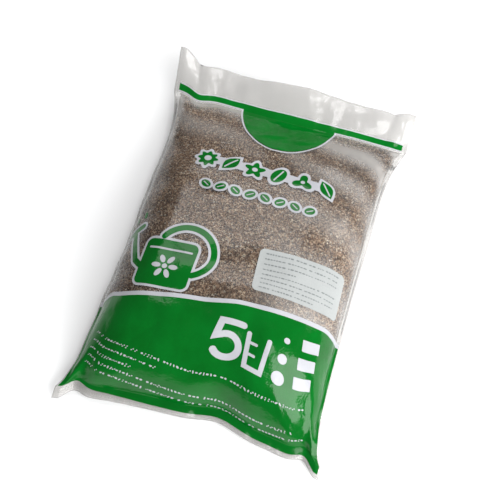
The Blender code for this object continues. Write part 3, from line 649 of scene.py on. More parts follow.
@dataclass(frozen=True)
class FilmRelief:
    """Grains pressing through the film, and fine wrinkles."""

    grains: float = 0.2
    wrinkles: float = 0.2
    height: float = 0.0006
    grain_scale: float = 430.0
    wrinkle_scale: float = 45.0
    wrinkle_detail: float = 3.0
    wrinkle_twist: float = 0.4

    def normal(self, board: NodeBoard) -> bpy.types.NodeSocket:
        """Add the relief to a material.

        Args:
            board: the material's nodes.

        Returns:
            The normal socket.
        """
        place = board.place()
        cells = board.add("ShaderNodeTexVoronoi", {"Vector": place, "Scale": self.grain_scale}, feature="F1")
        height = board.math("MULTIPLY", cells.outputs["Distance"], board.attribute(PRESSED))
        normal = board.bump(height, self.height, self.grains)
        wrinkles = board.add("ShaderNodeTexNoise", {
            "Vector": place,
            "Scale": self.wrinkle_scale,
            "Detail": self.wrinkle_detail,
            "Distortion": self.wrinkle_twist,
        })
        return board.bump(wrinkles.outputs["Fac"], self.height, self.wrinkles, normal)


@dataclass(frozen=True)
class FilmFinish:
    """Clear glossy film, hazy where nothing presses against it, with a painted reflection added to its haze.
    """

    tint: Colour = (0.85, 0.843, 0.833)
    pressed_tint: Colour = (0.945, 0.94, 0.93)
    haze: float = 0.22
    pressed_haze: float = 0.02
    haze_colour: Colour = (0.66, 0.65, 0.63)
    roughness: float = 0.19
    index: float = 1.5
    shine: float = 0.95
    relief: FilmRelief = FilmRelief()

    def material(self) -> bpy.types.Material:
        """Mix the film.

        Returns:
            The material.
        """
        board = NodeBoard("clear_film")
        normal = self.relief.normal(board)
        pressed = board.attribute(PRESSED)
        haze = board.span(pressed, (0.0, 1.0), (self.haze, self.pressed_haze))
        # painted reflection: a whitish haze stored on the mesh is added to the film's own haze
        haze = board.math("ADD", haze, board.attribute(PAINTED_REFLECTION))
        tint = board.ramp(pressed, [(0.0, self.tint), (1.0, self.pressed_tint)])
        clear = board.add("ShaderNodeBsdfTransparent", {"Color": tint})
        gloss = board.add("ShaderNodeBsdfAnisotropic", {"Roughness": self.roughness, "Normal": normal})
        haze_and_painted_reflection = board.add("ShaderNodeBsdfDiffuse", {"Color": (*self.haze_colour, 1.0)})
        body = board.add("ShaderNodeMixShader", {0: haze, 1: clear.outputs[0], 2: haze_and_painted_reflection.outputs[0]})
        fresnel = board.add("ShaderNodeFresnel", {"IOR": self.index, "Normal": normal})
        share = board.math("MULTIPLY", fresnel.outputs[0], self.shine)
        skin = board.add("ShaderNodeMixShader", {0: share, 1: body.outputs[0], 2: gloss.outputs[0]})
        return board.close(skin.outputs[0])


@dataclass(frozen=True)
class InkFinish:
    """Glossy ink on the film's inner face, seen through it, with painted light that makes it brighter towards
    the head.
    """

    name: str
    colour: Colour
    deep: Colour
    roughness: float = 0.12
    specular: float = 0.25
    cloud_scale: float = 28.0
    cloud_detail: float = 5.0
    painted_light_gain: float = 1.3
    painted_light_span: Point = (0.06, 0.15)
    relief: FilmRelief = FilmRelief(grains=0.12)

    def material(self) -> bpy.types.Material:
        """Mix the ink.

        Returns:
            The material.
        """
        board = NodeBoard(self.name)
        cloud = board.noise(self.cloud_scale, self.cloud_detail)
        colour = board.ramp(cloud, [(0.3, self.deep), (0.7, self.colour)])
        # painted light: the colour is scaled up along Y, from 1 at the span's start to the gain at its end,
        # so the print gets brighter towards the head
        along = board.add("ShaderNodeSeparateXYZ", {0: board.place()}).outputs[1]
        painted_light_gain = board.span(along, self.painted_light_span, (1.0, self.painted_light_gain))
        painted_light = board.add("ShaderNodeVectorMath", {"Vector": colour, "Scale": painted_light_gain}, operation="SCALE")
        return board.solid({
            "Base Color": painted_light.outputs[0],
            "Roughness": self.roughness,
            "Normal": self.relief.normal(board),
            "Specular IOR Level": self.specular,
        })


@dataclass(frozen=True)
class LabelFinish:
    """Satin white label paper."""

    colour: Colour = (0.335, 0.350, 0.345)
    deep_share: float = 0.93
    fibre_scale: float = 900.0
    wave_scale: float = 90.0
    wave_height: float = 0.001
    wave_strength: float = 0.25
    roughness: float = 0.42

    def material(self) -> bpy.types.Material:
        """Mix the paper.

        Returns:
            The material.
        """
        board = NodeBoard("label_paper")
        deep = tuple(self.deep_share * value for value in self.colour)
        colour = board.ramp(board.noise(self.fibre_scale, 3.0), [(0.35, deep), (0.65, self.colour)])
        normal = board.bump(board.noise(self.wave_scale, 3.0), self.wave_height, self.wave_strength)
        return board.solid({"Base Color": colour, "Roughness": self.roughness, "Normal": normal})


# grain tones from dark to pale; the palest stops, near white, are painted glints that stand in for the glints
# of mica flakes
GRAIN_TONES_AND_PAINTED_GLINTS: tuple[tuple[float, Colour], ...] = (
    (0.0, (0.05, 0.025, 0.013)),
    (0.3, (0.175, 0.10, 0.060)),
    (0.6, (0.43, 0.272, 0.170)),
    (0.82, (0.70, 0.50, 0.34)),
    (0.95, (0.96, 0.82, 0.62)),
    (1.0, (0.97, 0.92, 0.82)),
)


@dataclass(frozen=True)
class GrainFinish:
    """Loose flakes: dull brown, with a glint on some: partly real, from a lower roughness, and partly
    painted, as near-white colour in the palest tones.
    """

    name: str = "vermiculite_grain"
    loose: bool = True
    leaf_scale: float = 1500.0
    leaf_height: float = 0.0003
    cell_scale: float = 620.0
    cell_height: float = 0.002
    relief: float = 0.6
    glint_tones: Point = (0.7, 1.0)
    glint_roughness: Point = (0.75, 0.22)

    def material(self) -> bpy.types.Material:
        """Mix the grains.

        Returns:
            The material.
        """
        board = NodeBoard(self.name)
        if self.loose:
            tone_with_glint = board.attribute(GRAIN_AND_GLINT_TONE)
            height, distance = board.noise(self.leaf_scale, 2.0), self.leaf_height
        else:
            inputs = {"Vector": board.place(), "Scale": self.cell_scale}
            cells = board.add("ShaderNodeTexVoronoi", inputs, feature="F1")
            tone_with_glint = board.add("ShaderNodeSeparateColor", {0: cells.outputs["Color"]}).outputs[0]
            height, distance = board.math("SUBTRACT", 1.0, cells.outputs["Distance"]), self.cell_height
        # the palest tones paint glints into the base colour, and the roughness drops there for real glints
        return board.solid({
            "Base Color": board.ramp(tone_with_glint, GRAIN_TONES_AND_PAINTED_GLINTS),
            "Roughness": board.span(tone_with_glint, self.glint_tones, self.glint_roughness),
            "Normal": board.bump(height, distance, self.relief),
        })


@dataclass(frozen=True)
class FloorFinish:
    """Plain pale floor."""

    colour: Colour = (0.90, 0.90, 0.90)
    deep_share: float = 0.985
    cloud_scale: float = 3.0
    roughness: float = 0.75
    specular: float = 0.2

    def material(self) -> bpy.types.Material:
        """Mix the floor.

        Returns:
            The material.
        """
        board = NodeBoard("pale_floor")
        deep = tuple(self.deep_share * value for value in self.colour)
        colour = board.ramp(board.noise(self.cloud_scale, 2.0), [(0.3, deep), (0.7, self.colour)])
        inputs = {"Base Color": colour, "Roughness": self.roughness, "Specular IOR Level": self.specular}
        return board.solid(inputs)


def mesh_object(name: str, points: np.ndarray, triangles: np.ndarray, material: bpy.types.Material,
                sharp: Optional[float] = None) -> bpy.types.Object:
    """Make one smooth-shaded mesh object.

    Args:
        name: the piece's name.
        points: points in millimetres.
        triangles: three point numbers for each face.
        material: its finish.
        sharp: the angle in degrees past which an edge is sharp, or None for none.

    Returns:
        The object, in the scene.
    """
    mesh = bpy.data.meshes.new(name)
    mesh.vertices.add(len(points))
    mesh.vertices.foreach_set("co", np.asarray(points * MM, dtype=np.float32).ravel())
    mesh.loops.add(triangles.size)
    mesh.loops.foreach_set("vertex_index", triangles.astype(np.int32).ravel())
    mesh.polygons.add(len(triangles))
    mesh.polygons.foreach_set("loop_start", np.arange(0, triangles.size, 3, dtype=np.int32))
    mesh.update(calc_edges=True)
    mesh.shade_smooth()
    if sharp is not None:
        mesh.set_sharp_from_angle(angle=math.radians(sharp))
    mesh.materials.append(material)
    obj = bpy.data.objects.new(name, mesh)
    bpy.context.scene.collection.objects.link(obj)
    return obj


def add_values(obj: bpy.types.Object, name: str, values: np.ndarray) -> None:
    """Store one number for each point of a mesh."""
    attribute = obj.data.attributes.new(name, "FLOAT", "POINT")
    attribute.data.foreach_set("value", values.astype(np.float32).ravel())


def settle(obj: bpy.types.Object, nodes: Sequence[str]) -> bpy.types.Object:
    """Fix a piece to the bag's body and hide the construction's nodes that it replaces.

    Args:
        obj: the piece.
        nodes: the construction's nodes that it replaces.

    Returns:
        The piece.
    """
    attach(obj, BODY)
    if nodes:
        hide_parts(*nodes)
    LOG.info("%s: %d triangles", obj.name, len(obj.data.polygons))
    return obj


def grid_triangles(numbers: np.ndarray, up: bool) -> np.ndarray:
    """Both triangles of each cell in a grid of point numbers.

    Args:
        numbers: the grid.
        up: whether they face up.

    Returns:
        Three point numbers for each triangle.
    """
    a, b = numbers[:-1, :-1].ravel(), numbers[:-1, 1:].ravel()
    c, d = numbers[1:, 1:].ravel(), numbers[1:, :-1].ravel()
    faces = np.concatenate([np.stack([a, b, c], axis=-1), np.stack([a, c, d], axis=-1)])
    return faces if up else faces[:, ::-1]


def ring_of(numbers: np.ndarray) -> np.ndarray:
    """The outer ring of a grid of point numbers, anticlockwise seen from above."""
    return np.concatenate([numbers[0, :-1], numbers[:-1, -1], numbers[-1, :0:-1], numbers[:0:-1, 0]])


def wall_triangles(top: np.ndarray, bottom: np.ndarray) -> np.ndarray:
    """A wall between two rings.

    Args:
        top: its upper ring, anticlockwise seen from above.
        bottom: its lower ring, point for point.

    Returns:
        Three point numbers for each triangle.
    """
    top_end, bottom_end = np.roll(top, -1), np.roll(bottom, -1)
    first = np.stack([bottom, bottom_end, top_end], axis=-1)
    return np.concatenate([first, np.stack([bottom, top_end, top], axis=-1)])


@dataclass(frozen=True)
class PaintedReflection:
    """Painted reflection on the front film, a whitish haze: on the right side, the head, one spot and a strip
    at the left.
    """

    right: Point = (0.0, 95.0)
    head: Point = (285.0, 392.0)
    spot: Point = (92.0, 128.0)
    spot_reach: Point = (42.0, 40.0)
    strip: Point = (-123.0, 262.0)
    strip_reach: Point = (5.5, 10.0)
    strip_wave: Triple = (0.35, 8.0, 21.0)
    band_wave: Point = (0.45, 7.5)
    band_run: Point = (0.5, 0.87)
    band_sway: Point = (1.4, 23.0)
    most: tuple[float, float, float, float] = (0.18, 0.42, 0.13, 0.28)

    def share_at(self, s: np.ndarray, l: np.ndarray) -> np.ndarray:
        """How much painted reflection lies on the film.

        Args:
            s: lengths across the film.
            l: lengths along the film.

        Returns:
            The share of painted reflection, from 0.
        """
        right = ((s - self.right[0]) / (self.right[1] - self.right[0])).clip(0.0, 1.0)
        head = ((l - self.head[0]) / (self.head[1] - self.head[0])).clip(0.0, 1.0)
        share, pitch = self.band_wave
        run = (self.band_run[0] * s + self.band_run[1] * l) / pitch
        band = 1.0 - share + share * np.sin(run + self.band_sway[0] * np.sin(s / self.band_sway[1]))
        off_s, off_l = (s - self.spot[0]) / self.spot_reach[0], (l - self.spot[1]) / self.spot_reach[1]
        painted_reflection = self.most[0] * right ** 2 * (3 - 2 * right) * band
        painted_reflection += self.most[1] * head * band + self.most[2] * np.exp(-off_s ** 2 - off_l ** 2)
        strip = np.exp(-((s - self.strip[0]) / self.strip_reach[0]) ** 2)
        strip /= 1.0 + np.exp((self.strip[1] - l) / self.strip_reach[1])
        share, pitch, sway = self.strip_wave
        return painted_reflection + self.most[3] * strip * (1.0 - share + share * np.sin(l / pitch + np.sin(l / sway)))


@dataclass
class FilmBag:
    """The bag itself: two clear films, welded along their sides and across the foot."""

    form: BagForm
    pitch: float = 1.75
    painted_reflection: PaintedReflection = PaintedReflection()
    painted_reflection_reach: float = 5.0
    pressed_reach: float = 12.0
    finish: FilmFinish = FilmFinish()

    def __post_init__(self) -> None:
        """Lay out the film's grid."""
        form = self.form
        half, columns = form.film_width / 2, round(form.film_width / self.pitch)
        self.s_lines = np.linspace(-half, half, columns + 1)
        self.l_lines = np.linspace(0.0, form.film_length, round(form.film_length / self.pitch) + 1)
        self.s_grid, self.l_grid = np.meshgrid(self.s_lines, self.l_lines)
        self.front = form.front(self.s_grid, self.l_grid)
        self.front_normals = form.normals(FilmSide.FRONT, self.s_grid, self.l_grid)
        self.back = form.back(self.s_grid, self.l_grid)

    def lift(self, s: np.ndarray, l: np.ndarray, height: float) -> np.ndarray:
        """Points above the facets of the front film.

        Args:
            s: lengths across the film.
            l: lengths along the film.
            height: height above the film.

        Returns:
            An array of X, Y and Z.
        """
        column = np.clip(np.searchsorted(self.s_lines, s, side="right") - 1, 0, len(self.s_lines) - 2)
        row = np.clip(np.searchsorted(self.l_lines, l, side="right") - 1, 0, len(self.l_lines) - 2)
        u = ((s - self.s_lines[column]) / (self.s_lines[column + 1] - self.s_lines[column]))[..., None]
        v = ((l - self.l_lines[row]) / (self.l_lines[row + 1] - self.l_lines[row]))[..., None]
        layer = self.front + self.front_normals * height
        a, b = layer[row, column], layer[row, column + 1]
        c, d = layer[row + 1, column + 1], layer[row + 1, column]
        return np.where(u >= v, a + (b - a) * u + (c - b) * v, a + (c - d) * u + (d - a) * v)

    def pressed_share(self, s: np.ndarray, l: np.ndarray) -> np.ndarray:
        """How hard the grains press against the film, from 0 at the seams to 1."""
        return self.form.inside(s, l, self.pressed_reach)

    def build(self) -> bpy.types.Object:
        """Build the closed film and dress it.

        Returns:
            The piece.
        """
        count = self.s_grid.size
        top = np.arange(count).reshape(self.s_grid.shape)
        bottom = top + count
        triangles = np.concatenate([
            grid_triangles(top, True),
            grid_triangles(bottom, False),
            wall_triangles(ring_of(top), ring_of(bottom)),
        ])
        points = np.concatenate([self.front.reshape(-1, 3), self.back.reshape(-1, 3)])
        obj = mesh_object("film_skin", points, triangles, self.finish.material())
        pressed = self.pressed_share(self.s_grid, self.l_grid).ravel()
        add_values(obj, PRESSED, np.concatenate([pressed, pressed]))
        # painted reflection on the front film only; the back film gets none
        painted_reflection = self.painted_reflection.share_at(self.s_grid, self.l_grid)
        painted_reflection = painted_reflection * self.form.inside(self.s_grid, self.l_grid, self.painted_reflection_reach)
        add_values(obj, PAINTED_REFLECTION, np.concatenate([painted_reflection.ravel(), np.zeros(count)]))
        return settle(obj, ["film_bag"])


FLAKE_CORNERS = np.array([(1, 0, 0), (0, 1, 0), (-1, 0, 0), (0, -1, 0), (0, 0, 1), (0, 0, -1)], dtype=float)
FLAKE_FACES = np.array([
    (0, 1, 4), (1, 2, 4), (2, 3, 4), (3, 0, 4),
    (1, 0, 5), (2, 1, 5), (3, 2, 5), (0, 3, 5),
])
FLAKE_REACH = (0.75, 1.1)
FLAKE_WIDTH = (0.7, 1.0)
FLAKE_THICKNESS = (0.35, 0.8)
FLAKE_UNEVENNESS = 0.1


def flake_shapes(count: int, draw: np.random.Generator) -> np.ndarray:
    """Uneven flat flakes of unit size, each turned its own way.

    Args:
        count: how many.
        draw: the random draw.

    Returns:
        The six corners of each flake.
    """
    shape = FLAKE_CORNERS[None] * draw.uniform(*FLAKE_REACH, (count, 6, 1))
    wide = draw.uniform(*FLAKE_WIDTH, count)
    thick = draw.uniform(*FLAKE_THICKNESS, count)
    shape = shape * np.stack([np.ones(count), wide, thick], axis=-1)[:, None, :]
    shape = shape + draw.normal(0.0, FLAKE_UNEVENNESS, shape.shape)
    axes = np.linalg.qr(draw.normal(0.0, 1.0, (count, 3, 3)))[0]
    axes[:, :, 0] *= np.sign(np.linalg.det(axes))[:, None]
    return np.einsum("nij,nkj->nki", axes, shape)


@dataclass(frozen=True)
class FlakeLayer:
    """One layer of loose flakes under a film, from a lowest length along it to the head."""

    name: str
    side: FilmSide
    count: int
    low: float
    seed: int
    size: Point = (0.8, 1.7)
    painted_glint_share: float = 0.05
    dark_sink: bool = True


@dataclass
class GrainFill:
    """The vermiculite: a bulk just under the film, and loose flakes on its surface."""

    form: BagForm
    pitch: float = 3.0
    depth: float = 1.9
    bulk_ends: Point = (4.0, 1.0)
    seam_gap: float = 4.0
    slack: Point = (9.0, 4.0)
    slack_at: Point = (318.0, 46.0)
    corner_gap: Point = (16.0, 24.0)
    head_gap: float = 1.2
    flake_overlap: float = 1.0
    gap_share: float = 0.4
    size_spread: Point = (0.8, 1.15)
    least_size: float = 0.3
    painted_glint_size: float = 0.75
    painted_glint_tones: Point = (0.86, 1.0)
    dull_tone: float = 0.84
    dull_bias: Point = (0.7, 1.2)
    under_film: float = 0.2
    sink: Point = (0.3, 1.3)
    above_table: float = 0.15
    sharp: float = 20.0
    layers: tuple[FlakeLayer, ...] = (
        FlakeLayer("vermiculite_front_flakes", FilmSide.FRONT, 24000, 100.0, 8),
        FlakeLayer("vermiculite_front_specks", FilmSide.FRONT, 16000, 100.0, 19, (0.45, 0.95), 0.4, False),
        FlakeLayer("vermiculite_back_flakes", FilmSide.BACK, 16000, 18.0, 6),
    )

    def inset(self, l: np.ndarray, side: float) -> np.ndarray:
        """How far the grains stay inside a side seam.

        Args:
            l: lengths along the film.
            side: -1 for the left seam, or 1 for the right.

        Returns:
            The distance in millimetres.
        """
        slack = np.exp(-((l - self.slack_at[0]) / self.slack_at[1]) ** 2)
        corner = self.corner_gap[0] * np.exp(-((l - self.form.foot_weld) / self.corner_gap[1]) ** 2)
        return self.seam_gap + corner + self.slack[0 if side < 0.0 else 1] * slack

    def build_bulk(self) -> bpy.types.Object:
        """Build the solid heart of the grains.

        Returns:
            The piece.
        """
        form = self.form
        low, high = form.foot_weld + self.bulk_ends[0], form.head_seam - self.bulk_ends[1]
        l_lines = np.linspace(low, high, round((high - low) / self.pitch) + 1)
        columns = round(2 * form.seam / self.pitch) + 1
        share, l = np.meshgrid(np.linspace(0.0, 1.0, columns), l_lines)
        left, right = -form.seam + self.inset(l, -1.0), form.seam - self.inset(l, 1.0)
        s = left + (right - left) * share
        front, back = form.front(s, l), form.back(s, l)
        gap = front[..., 2] - back[..., 2]
        depth = np.minimum(self.depth, self.gap_share * gap)[..., None]
        front = front - form.normals(FilmSide.FRONT, s, l) * depth
        back = back - form.normals(FilmSide.BACK, s, l) * depth
        top = np.arange(s.size).reshape(s.shape)
        triangles = np.concatenate([
            grid_triangles(top, True),
            grid_triangles(top + s.size, False),
            wall_triangles(ring_of(top), ring_of(top + s.size)),
        ])
        points = np.concatenate([front.reshape(-1, 3), back.reshape(-1, 3)])
        finish = GrainFinish("vermiculite_bulk", loose=False)
        obj = mesh_object("vermiculite_bulk", points, triangles, finish.material())
        return settle(obj, ["vermiculite_fill"])

    def scatter(self, layer: FlakeLayer, draw: np.random.Generator) -> tuple[np.ndarray, np.ndarray]:
        """Spread one layer's flakes evenly, each a little off its place.

        Args:
            layer: the layer.
            draw: the random draw.

        Returns:
            Their lengths across and along the film.
        """
        form = self.form
        reach = form.head_seam - self.head_gap - layer.low
        rows = round(math.sqrt(layer.count * reach / (2 * form.seam)))
        columns = layer.count // rows
        share, l = np.meshgrid(np.arange(columns), np.arange(rows))
        share = ((share + draw.uniform(0.0, 1.0, share.shape)) / columns).ravel()
        l = (layer.low + reach * (l + draw.uniform(0.0, 1.0, l.shape)) / rows).ravel()
        left = -form.seam + self.inset(l, -1.0) - self.flake_overlap
        right = form.seam - self.inset(l, 1.0) + self.flake_overlap
        return left + (right - left) * share, l

    def build_layer(self, layer: FlakeLayer) -> bpy.types.Object:
        """Scatter one layer of flakes just under its film.

        Args:
            layer: the layer.

        Returns:
            The piece.
        """
        form = self.form
        draw = np.random.default_rng(layer.seed)
        s, l = self.scatter(layer, draw)
        size = draw.uniform(*layer.size, len(s)) * draw.uniform(*self.size_spread, len(s))
        gap = form.front(s, l)[:, 2] - form.back(s, l)[:, 2]
        size = np.minimum(size, self.gap_share * gap)
        keep = size > self.least_size
        s, l, size, gap = s[keep], l[keep], size[keep], gap[keep]
        count = len(s)
        # painted glints: a share of the flakes get near-white tones and are made smaller
        painted_light = draw.random(count) < layer.painted_glint_share
        glint = draw.uniform(*self.painted_glint_tones, count)
        dull = self.dull_tone * draw.beta(*self.dull_bias, count)
        tone_with_glint = np.where(painted_light, glint, dull)
        size = size * np.where(painted_light, self.painted_glint_size, 1.0)
        sink = draw.uniform(*self.sink, count) * (1.0 - tone_with_glint if layer.dark_sink else 0.0)
        deep = np.minimum(size + self.under_film + sink, 0.5 * gap)
        middle = form.surface(layer.side, s, l) - form.normals(layer.side, s, l) * deep[:, None]
        points = flake_shapes(count, draw) * size[:, None, None] + middle[:, None, :]
        points = points.reshape(-1, 3)
        points[:, 2] = points[:, 2].clip(self.above_table)
        triangles = (FLAKE_FACES[None] + 6 * np.arange(count)[:, None, None]).reshape(-1, 3)
        obj = mesh_object(layer.name, points, triangles, GrainFinish().material(), self.sharp)
        add_values(obj, GRAIN_AND_GLINT_TONE, np.repeat(tone_with_glint, 6))
        return settle(obj, [])

    def build(self) -> None:
        """Build the bulk and the layers of flakes."""
        self.build_bulk()
        for layer in self.layers:
            self.build_layer(layer)


def turned(loop: np.ndarray, angle: float) -> np.ndarray:
    """An outline turned about the film's origin."""
    cos, sin = math.cos(angle), math.sin(angle)
    return np.asarray(loop) @ np.array([[cos, sin], [-sin, cos]])


def ellipse(centre: Point, radii: Point, turn: float = 0.0, steps: int = 32) -> np.ndarray:
    """A closed ellipse."""
    angle = np.linspace(0.0, 2.0 * math.pi, steps, endpoint=False)
    return turned(np.stack([radii[0] * np.cos(angle), radii[1] * np.sin(angle)], axis=-1), turn) + centre


def rounded_box(centre: Point, size: Point, corner: float, turn: float = 0.0, steps: int = 6) -> np.ndarray:
    """A rectangle with round corners.

    Args:
        centre: its middle.
        size: its width and height.
        corner: the corners' radius.
        turn: how far it is turned, in radians.
        steps: steps round each corner.

    Returns:
        The outline.
    """
    loop = []
    for quarter in range(4):
        sign_s = 1.0 if quarter in (0, 3) else -1.0
        sign_l = 1.0 if quarter in (0, 1) else -1.0
        middle = (sign_s * (size[0] / 2 - corner), sign_l * (size[1] / 2 - corner))
        for step in range(steps + 1):
            angle = (quarter + step / steps) * math.pi / 2
            loop.append((middle[0] + corner * math.cos(angle), middle[1] + corner * math.sin(angle)))
    return turned(np.array(loop), turn) + centre


def lobed(centre: Point, radius: float, lobes: int, depth: float, steps: int = 96) -> np.ndarray:
    """A round outline with a number of lobes, such as a flower or a sun.

    Args:
        centre: its middle.
        radius: its radius at a lobe's tip.
        lobes: how many lobes.
        depth: how far the gaps cut in, as a share of the radius.
        steps: points on the outline.

    Returns:
        The outline.
    """
    angle = np.linspace(0.0, 2.0 * math.pi, steps, endpoint=False)
    reach = radius * (1.0 - depth / 2 + depth / 2 * np.cos(lobes * (angle - math.pi / 2)))
    return np.stack([centre[0] + reach * np.cos(angle), centre[1] + reach * np.sin(angle)], axis=-1)


def leaf(centre: Point, length: float, width: float, turn: float, steps: int = 16) -> np.ndarray:
    """A leaf with two pointed ends.

    Args:
        centre: its middle.
        length: from tip to tip.
        width: across its middle.
        turn: how far it is turned, in radians.
        steps: steps along each edge.

    Returns:
        The outline.
    """
    share = np.linspace(0.0, 1.0, steps + 1)
    upper = np.stack([(share - 0.5) * length, width / 2 * np.sin(math.pi * share)], axis=-1)
    return turned(np.concatenate([upper, upper[-2:0:-1] * (1.0, -1.0)]), turn) + centre


def arc(centre: Point, radii: Point, first: float, last: float, steps: int = 40) -> np.ndarray:
    """Points of an arc from one angle to another, in degrees."""
    angle = np.radians(np.linspace(first, last, steps + 1))
    return np.stack([centre[0] + radii[0] * np.cos(angle), centre[1] + radii[1] * np.sin(angle)], axis=-1)


def ribbon(path: Sequence[Point], width: float, round_ends: bool = True) -> list[np.ndarray]:
    """A stroke of constant width along a path.

    Args:
        path: the points that it follows.
        width: its width.
        round_ends: whether a round cap closes each end.

    Returns:
        The outlines that make up the stroke.
    """
    path = np.array(path, dtype=float)
    run = np.diff(path, axis=0)
    run = run / np.linalg.norm(run, axis=1, keepdims=True)
    side = np.stack([-run[:, 1], run[:, 0]], axis=-1)
    before, after = np.concatenate([side[:1], side]), np.concatenate([side, side[-1:]])
    mitre = before + after
    mitre = mitre / np.sum(mitre * before, axis=1, keepdims=True)
    left, right = path + mitre * width / 2, path - mitre * width / 2
    loops = [np.concatenate([right, left[::-1]])]
    if round_ends:
        loops += [ellipse(end, (width / 2, width / 2), steps=20) for end in (path[0], path[-1])]
    return loops


def winding(loop: np.ndarray, points: np.ndarray) -> np.ndarray:
    """How many times a closed outline runs round each point.

    Args:
        loop: the outline.
        points: the points.

    Returns:
        The turns, anticlockwise ones above zero.
    """
    turns = np.zeros(len(points))
    for (x0, y0), (x1, y1) in zip(loop, np.roll(loop, -1, axis=0)):
        side = (x1 - x0) * (points[:, 1] - y0) - (points[:, 0] - x0) * (y1 - y0)
        turns += (y0 <= points[:, 1]) & (y1 > points[:, 1]) & (side > 0)
        turns -= (y0 > points[:, 1]) & (y1 <= points[:, 1]) & (side < 0)
    return turns


CUT_NEARNESS = 1e-5
POINT_GRID = 2000.0
LEAST_AREA = 1e-6


@dataclass
class FilmCutter:
    """Cuts layers out of the front film's own facets, along smooth outlines."""

    bag: FilmBag
    thick: float = 0.12
    lift: float = 0.1
    layer_gap: float = 0.04
    sharp: float = 50.0

    def touched_cells(self, loops: Sequence[np.ndarray]) -> np.ndarray:
        """Find the grid cells that lie on or beside an outline.

        Args:
            loops: closed outlines.

        Returns:
            Whether each cell does.
        """
        s_lines, l_lines = self.bag.s_lines, self.bag.l_lines
        rows, columns = len(l_lines) - 1, len(s_lines) - 1
        marked = np.zeros((rows + 2, columns + 2), dtype=bool)
        for loop in loops:
            for start, end in zip(loop, np.roll(loop, -1, axis=0)):
                steps = max(2, math.ceil(4 * math.dist(start, end) / self.bag.pitch))
                line = start + (end - start) * np.linspace(0.0, 1.0, steps)[:, None]
                column = np.clip(np.searchsorted(s_lines, line[:, 0]) - 1, 0, columns - 1)
                row = np.clip(np.searchsorted(l_lines, line[:, 1]) - 1, 0, rows - 1)
                marked[row + 1, column + 1] = True
        return np.logical_or.reduce([marked[down:down + rows, along:along + columns]
                                     for down in range(3) for along in range(3)])

    def cut(self, loops: Sequence[np.ndarray]) -> tuple[np.ndarray, np.ndarray]:
        """Cut the area inside any of the outlines out of the film.

        Args:
            loops: closed outlines, which may overlap.

        Returns:
            The film points and the triangles between them, anticlockwise.
        """
        s_lines, l_lines = self.bag.s_lines, self.bag.l_lines
        marked = self.touched_cells(loops)
        points, edges = [], []
        for loop in loops:
            first = len(points)
            points.extend(map(tuple, loop))
            edges.extend((first + step, first + (step + 1) % len(loop)) for step in range(len(loop)))
        corner = {}
        for row, column in np.argwhere(marked):
            ring = [(row, column), (row, column + 1), (row + 1, column + 1), (row + 1, column)]
            for key in ring:
                if key not in corner:
                    corner[key] = len(points)
                    points.append((s_lines[key[1]], l_lines[key[0]]))
            a, b, c, d = (corner[key] for key in ring)
            edges.extend([(a, b), (b, c), (c, d), (d, a), (a, c)])
        result = delaunay_2d_cdt([Vector(point) for point in points], edges, [], 0, CUT_NEARNESS)
        flat = np.array([tuple(point) for point in result[0]])
        near = np.array(result[2])
        centres = flat[near].mean(axis=1)
        column = np.clip(np.searchsorted(s_lines, centres[:, 0]) - 1, 0, marked.shape[1] - 1)
        row = np.clip(np.searchsorted(l_lines, centres[:, 1]) - 1, 0, marked.shape[0] - 1)
        near = near[marked[row, column] & self.covered(loops, centres)]
        s_mid, l_mid = np.meshgrid((s_lines[1:] + s_lines[:-1]) / 2, (l_lines[1:] + l_lines[:-1]) / 2)
        whole = self.covered(loops, np.stack([s_mid.ravel(), l_mid.ravel()], axis=-1)).reshape(marked.shape)
        rows, columns = np.nonzero(whole & ~marked)
        number = len(flat) + np.arange(self.bag.s_grid.size).reshape(self.bag.s_grid.shape)
        a, b = number[rows, columns], number[rows, columns + 1]
        c, d = number[rows + 1, columns + 1], number[rows + 1, columns]
        far = np.concatenate([np.stack([a, b, c], axis=-1), np.stack([a, c, d], axis=-1)])
        grid = np.stack([self.bag.s_grid.ravel(), self.bag.l_grid.ravel()], axis=-1)
        return self.merged(np.concatenate([flat, grid]), np.concatenate([near, far]))

    @staticmethod
    def covered(loops: Sequence[np.ndarray], points: np.ndarray) -> np.ndarray:
        """Find the points that lie inside any outline.

        Args:
            loops: closed outlines.
            points: film points.

        Returns:
            Whether each point does.
        """
        inside = np.zeros(len(points), dtype=bool)
        for loop in loops:
            low, high = loop.min(axis=0), loop.max(axis=0)
            near = np.nonzero(((points >= low) & (points <= high)).all(axis=1))[0]
            inside[near] |= winding(loop, points[near]) != 0
        return inside

    @staticmethod
    def merged(flat: np.ndarray, triangles: np.ndarray) -> tuple[np.ndarray, np.ndarray]:
        """Drop unused and doubled points, and turn every triangle anticlockwise.

        Args:
            flat: film points.
            triangles: three point numbers for each triangle.

        Returns:
            The points and triangles that are left.
        """
        keys = np.round(flat * POINT_GRID).astype(np.int64)
        _, first, same = np.unique(keys, axis=0, return_index=True, return_inverse=True)
        triangles = first[same.ravel()][triangles]
        a, b, c = flat[triangles[:, 0]], flat[triangles[:, 1]], flat[triangles[:, 2]]
        area = (b[:, 0] - a[:, 0]) * (c[:, 1] - a[:, 1]) - (c[:, 0] - a[:, 0]) * (b[:, 1] - a[:, 1])
        triangles = np.where(area[:, None] < 0.0, triangles[:, ::-1], triangles)
        triangles = triangles[np.abs(area) > LEAST_AREA]
        used, numbers = np.unique(triangles, return_inverse=True)
        return flat[used], numbers.reshape(triangles.shape)

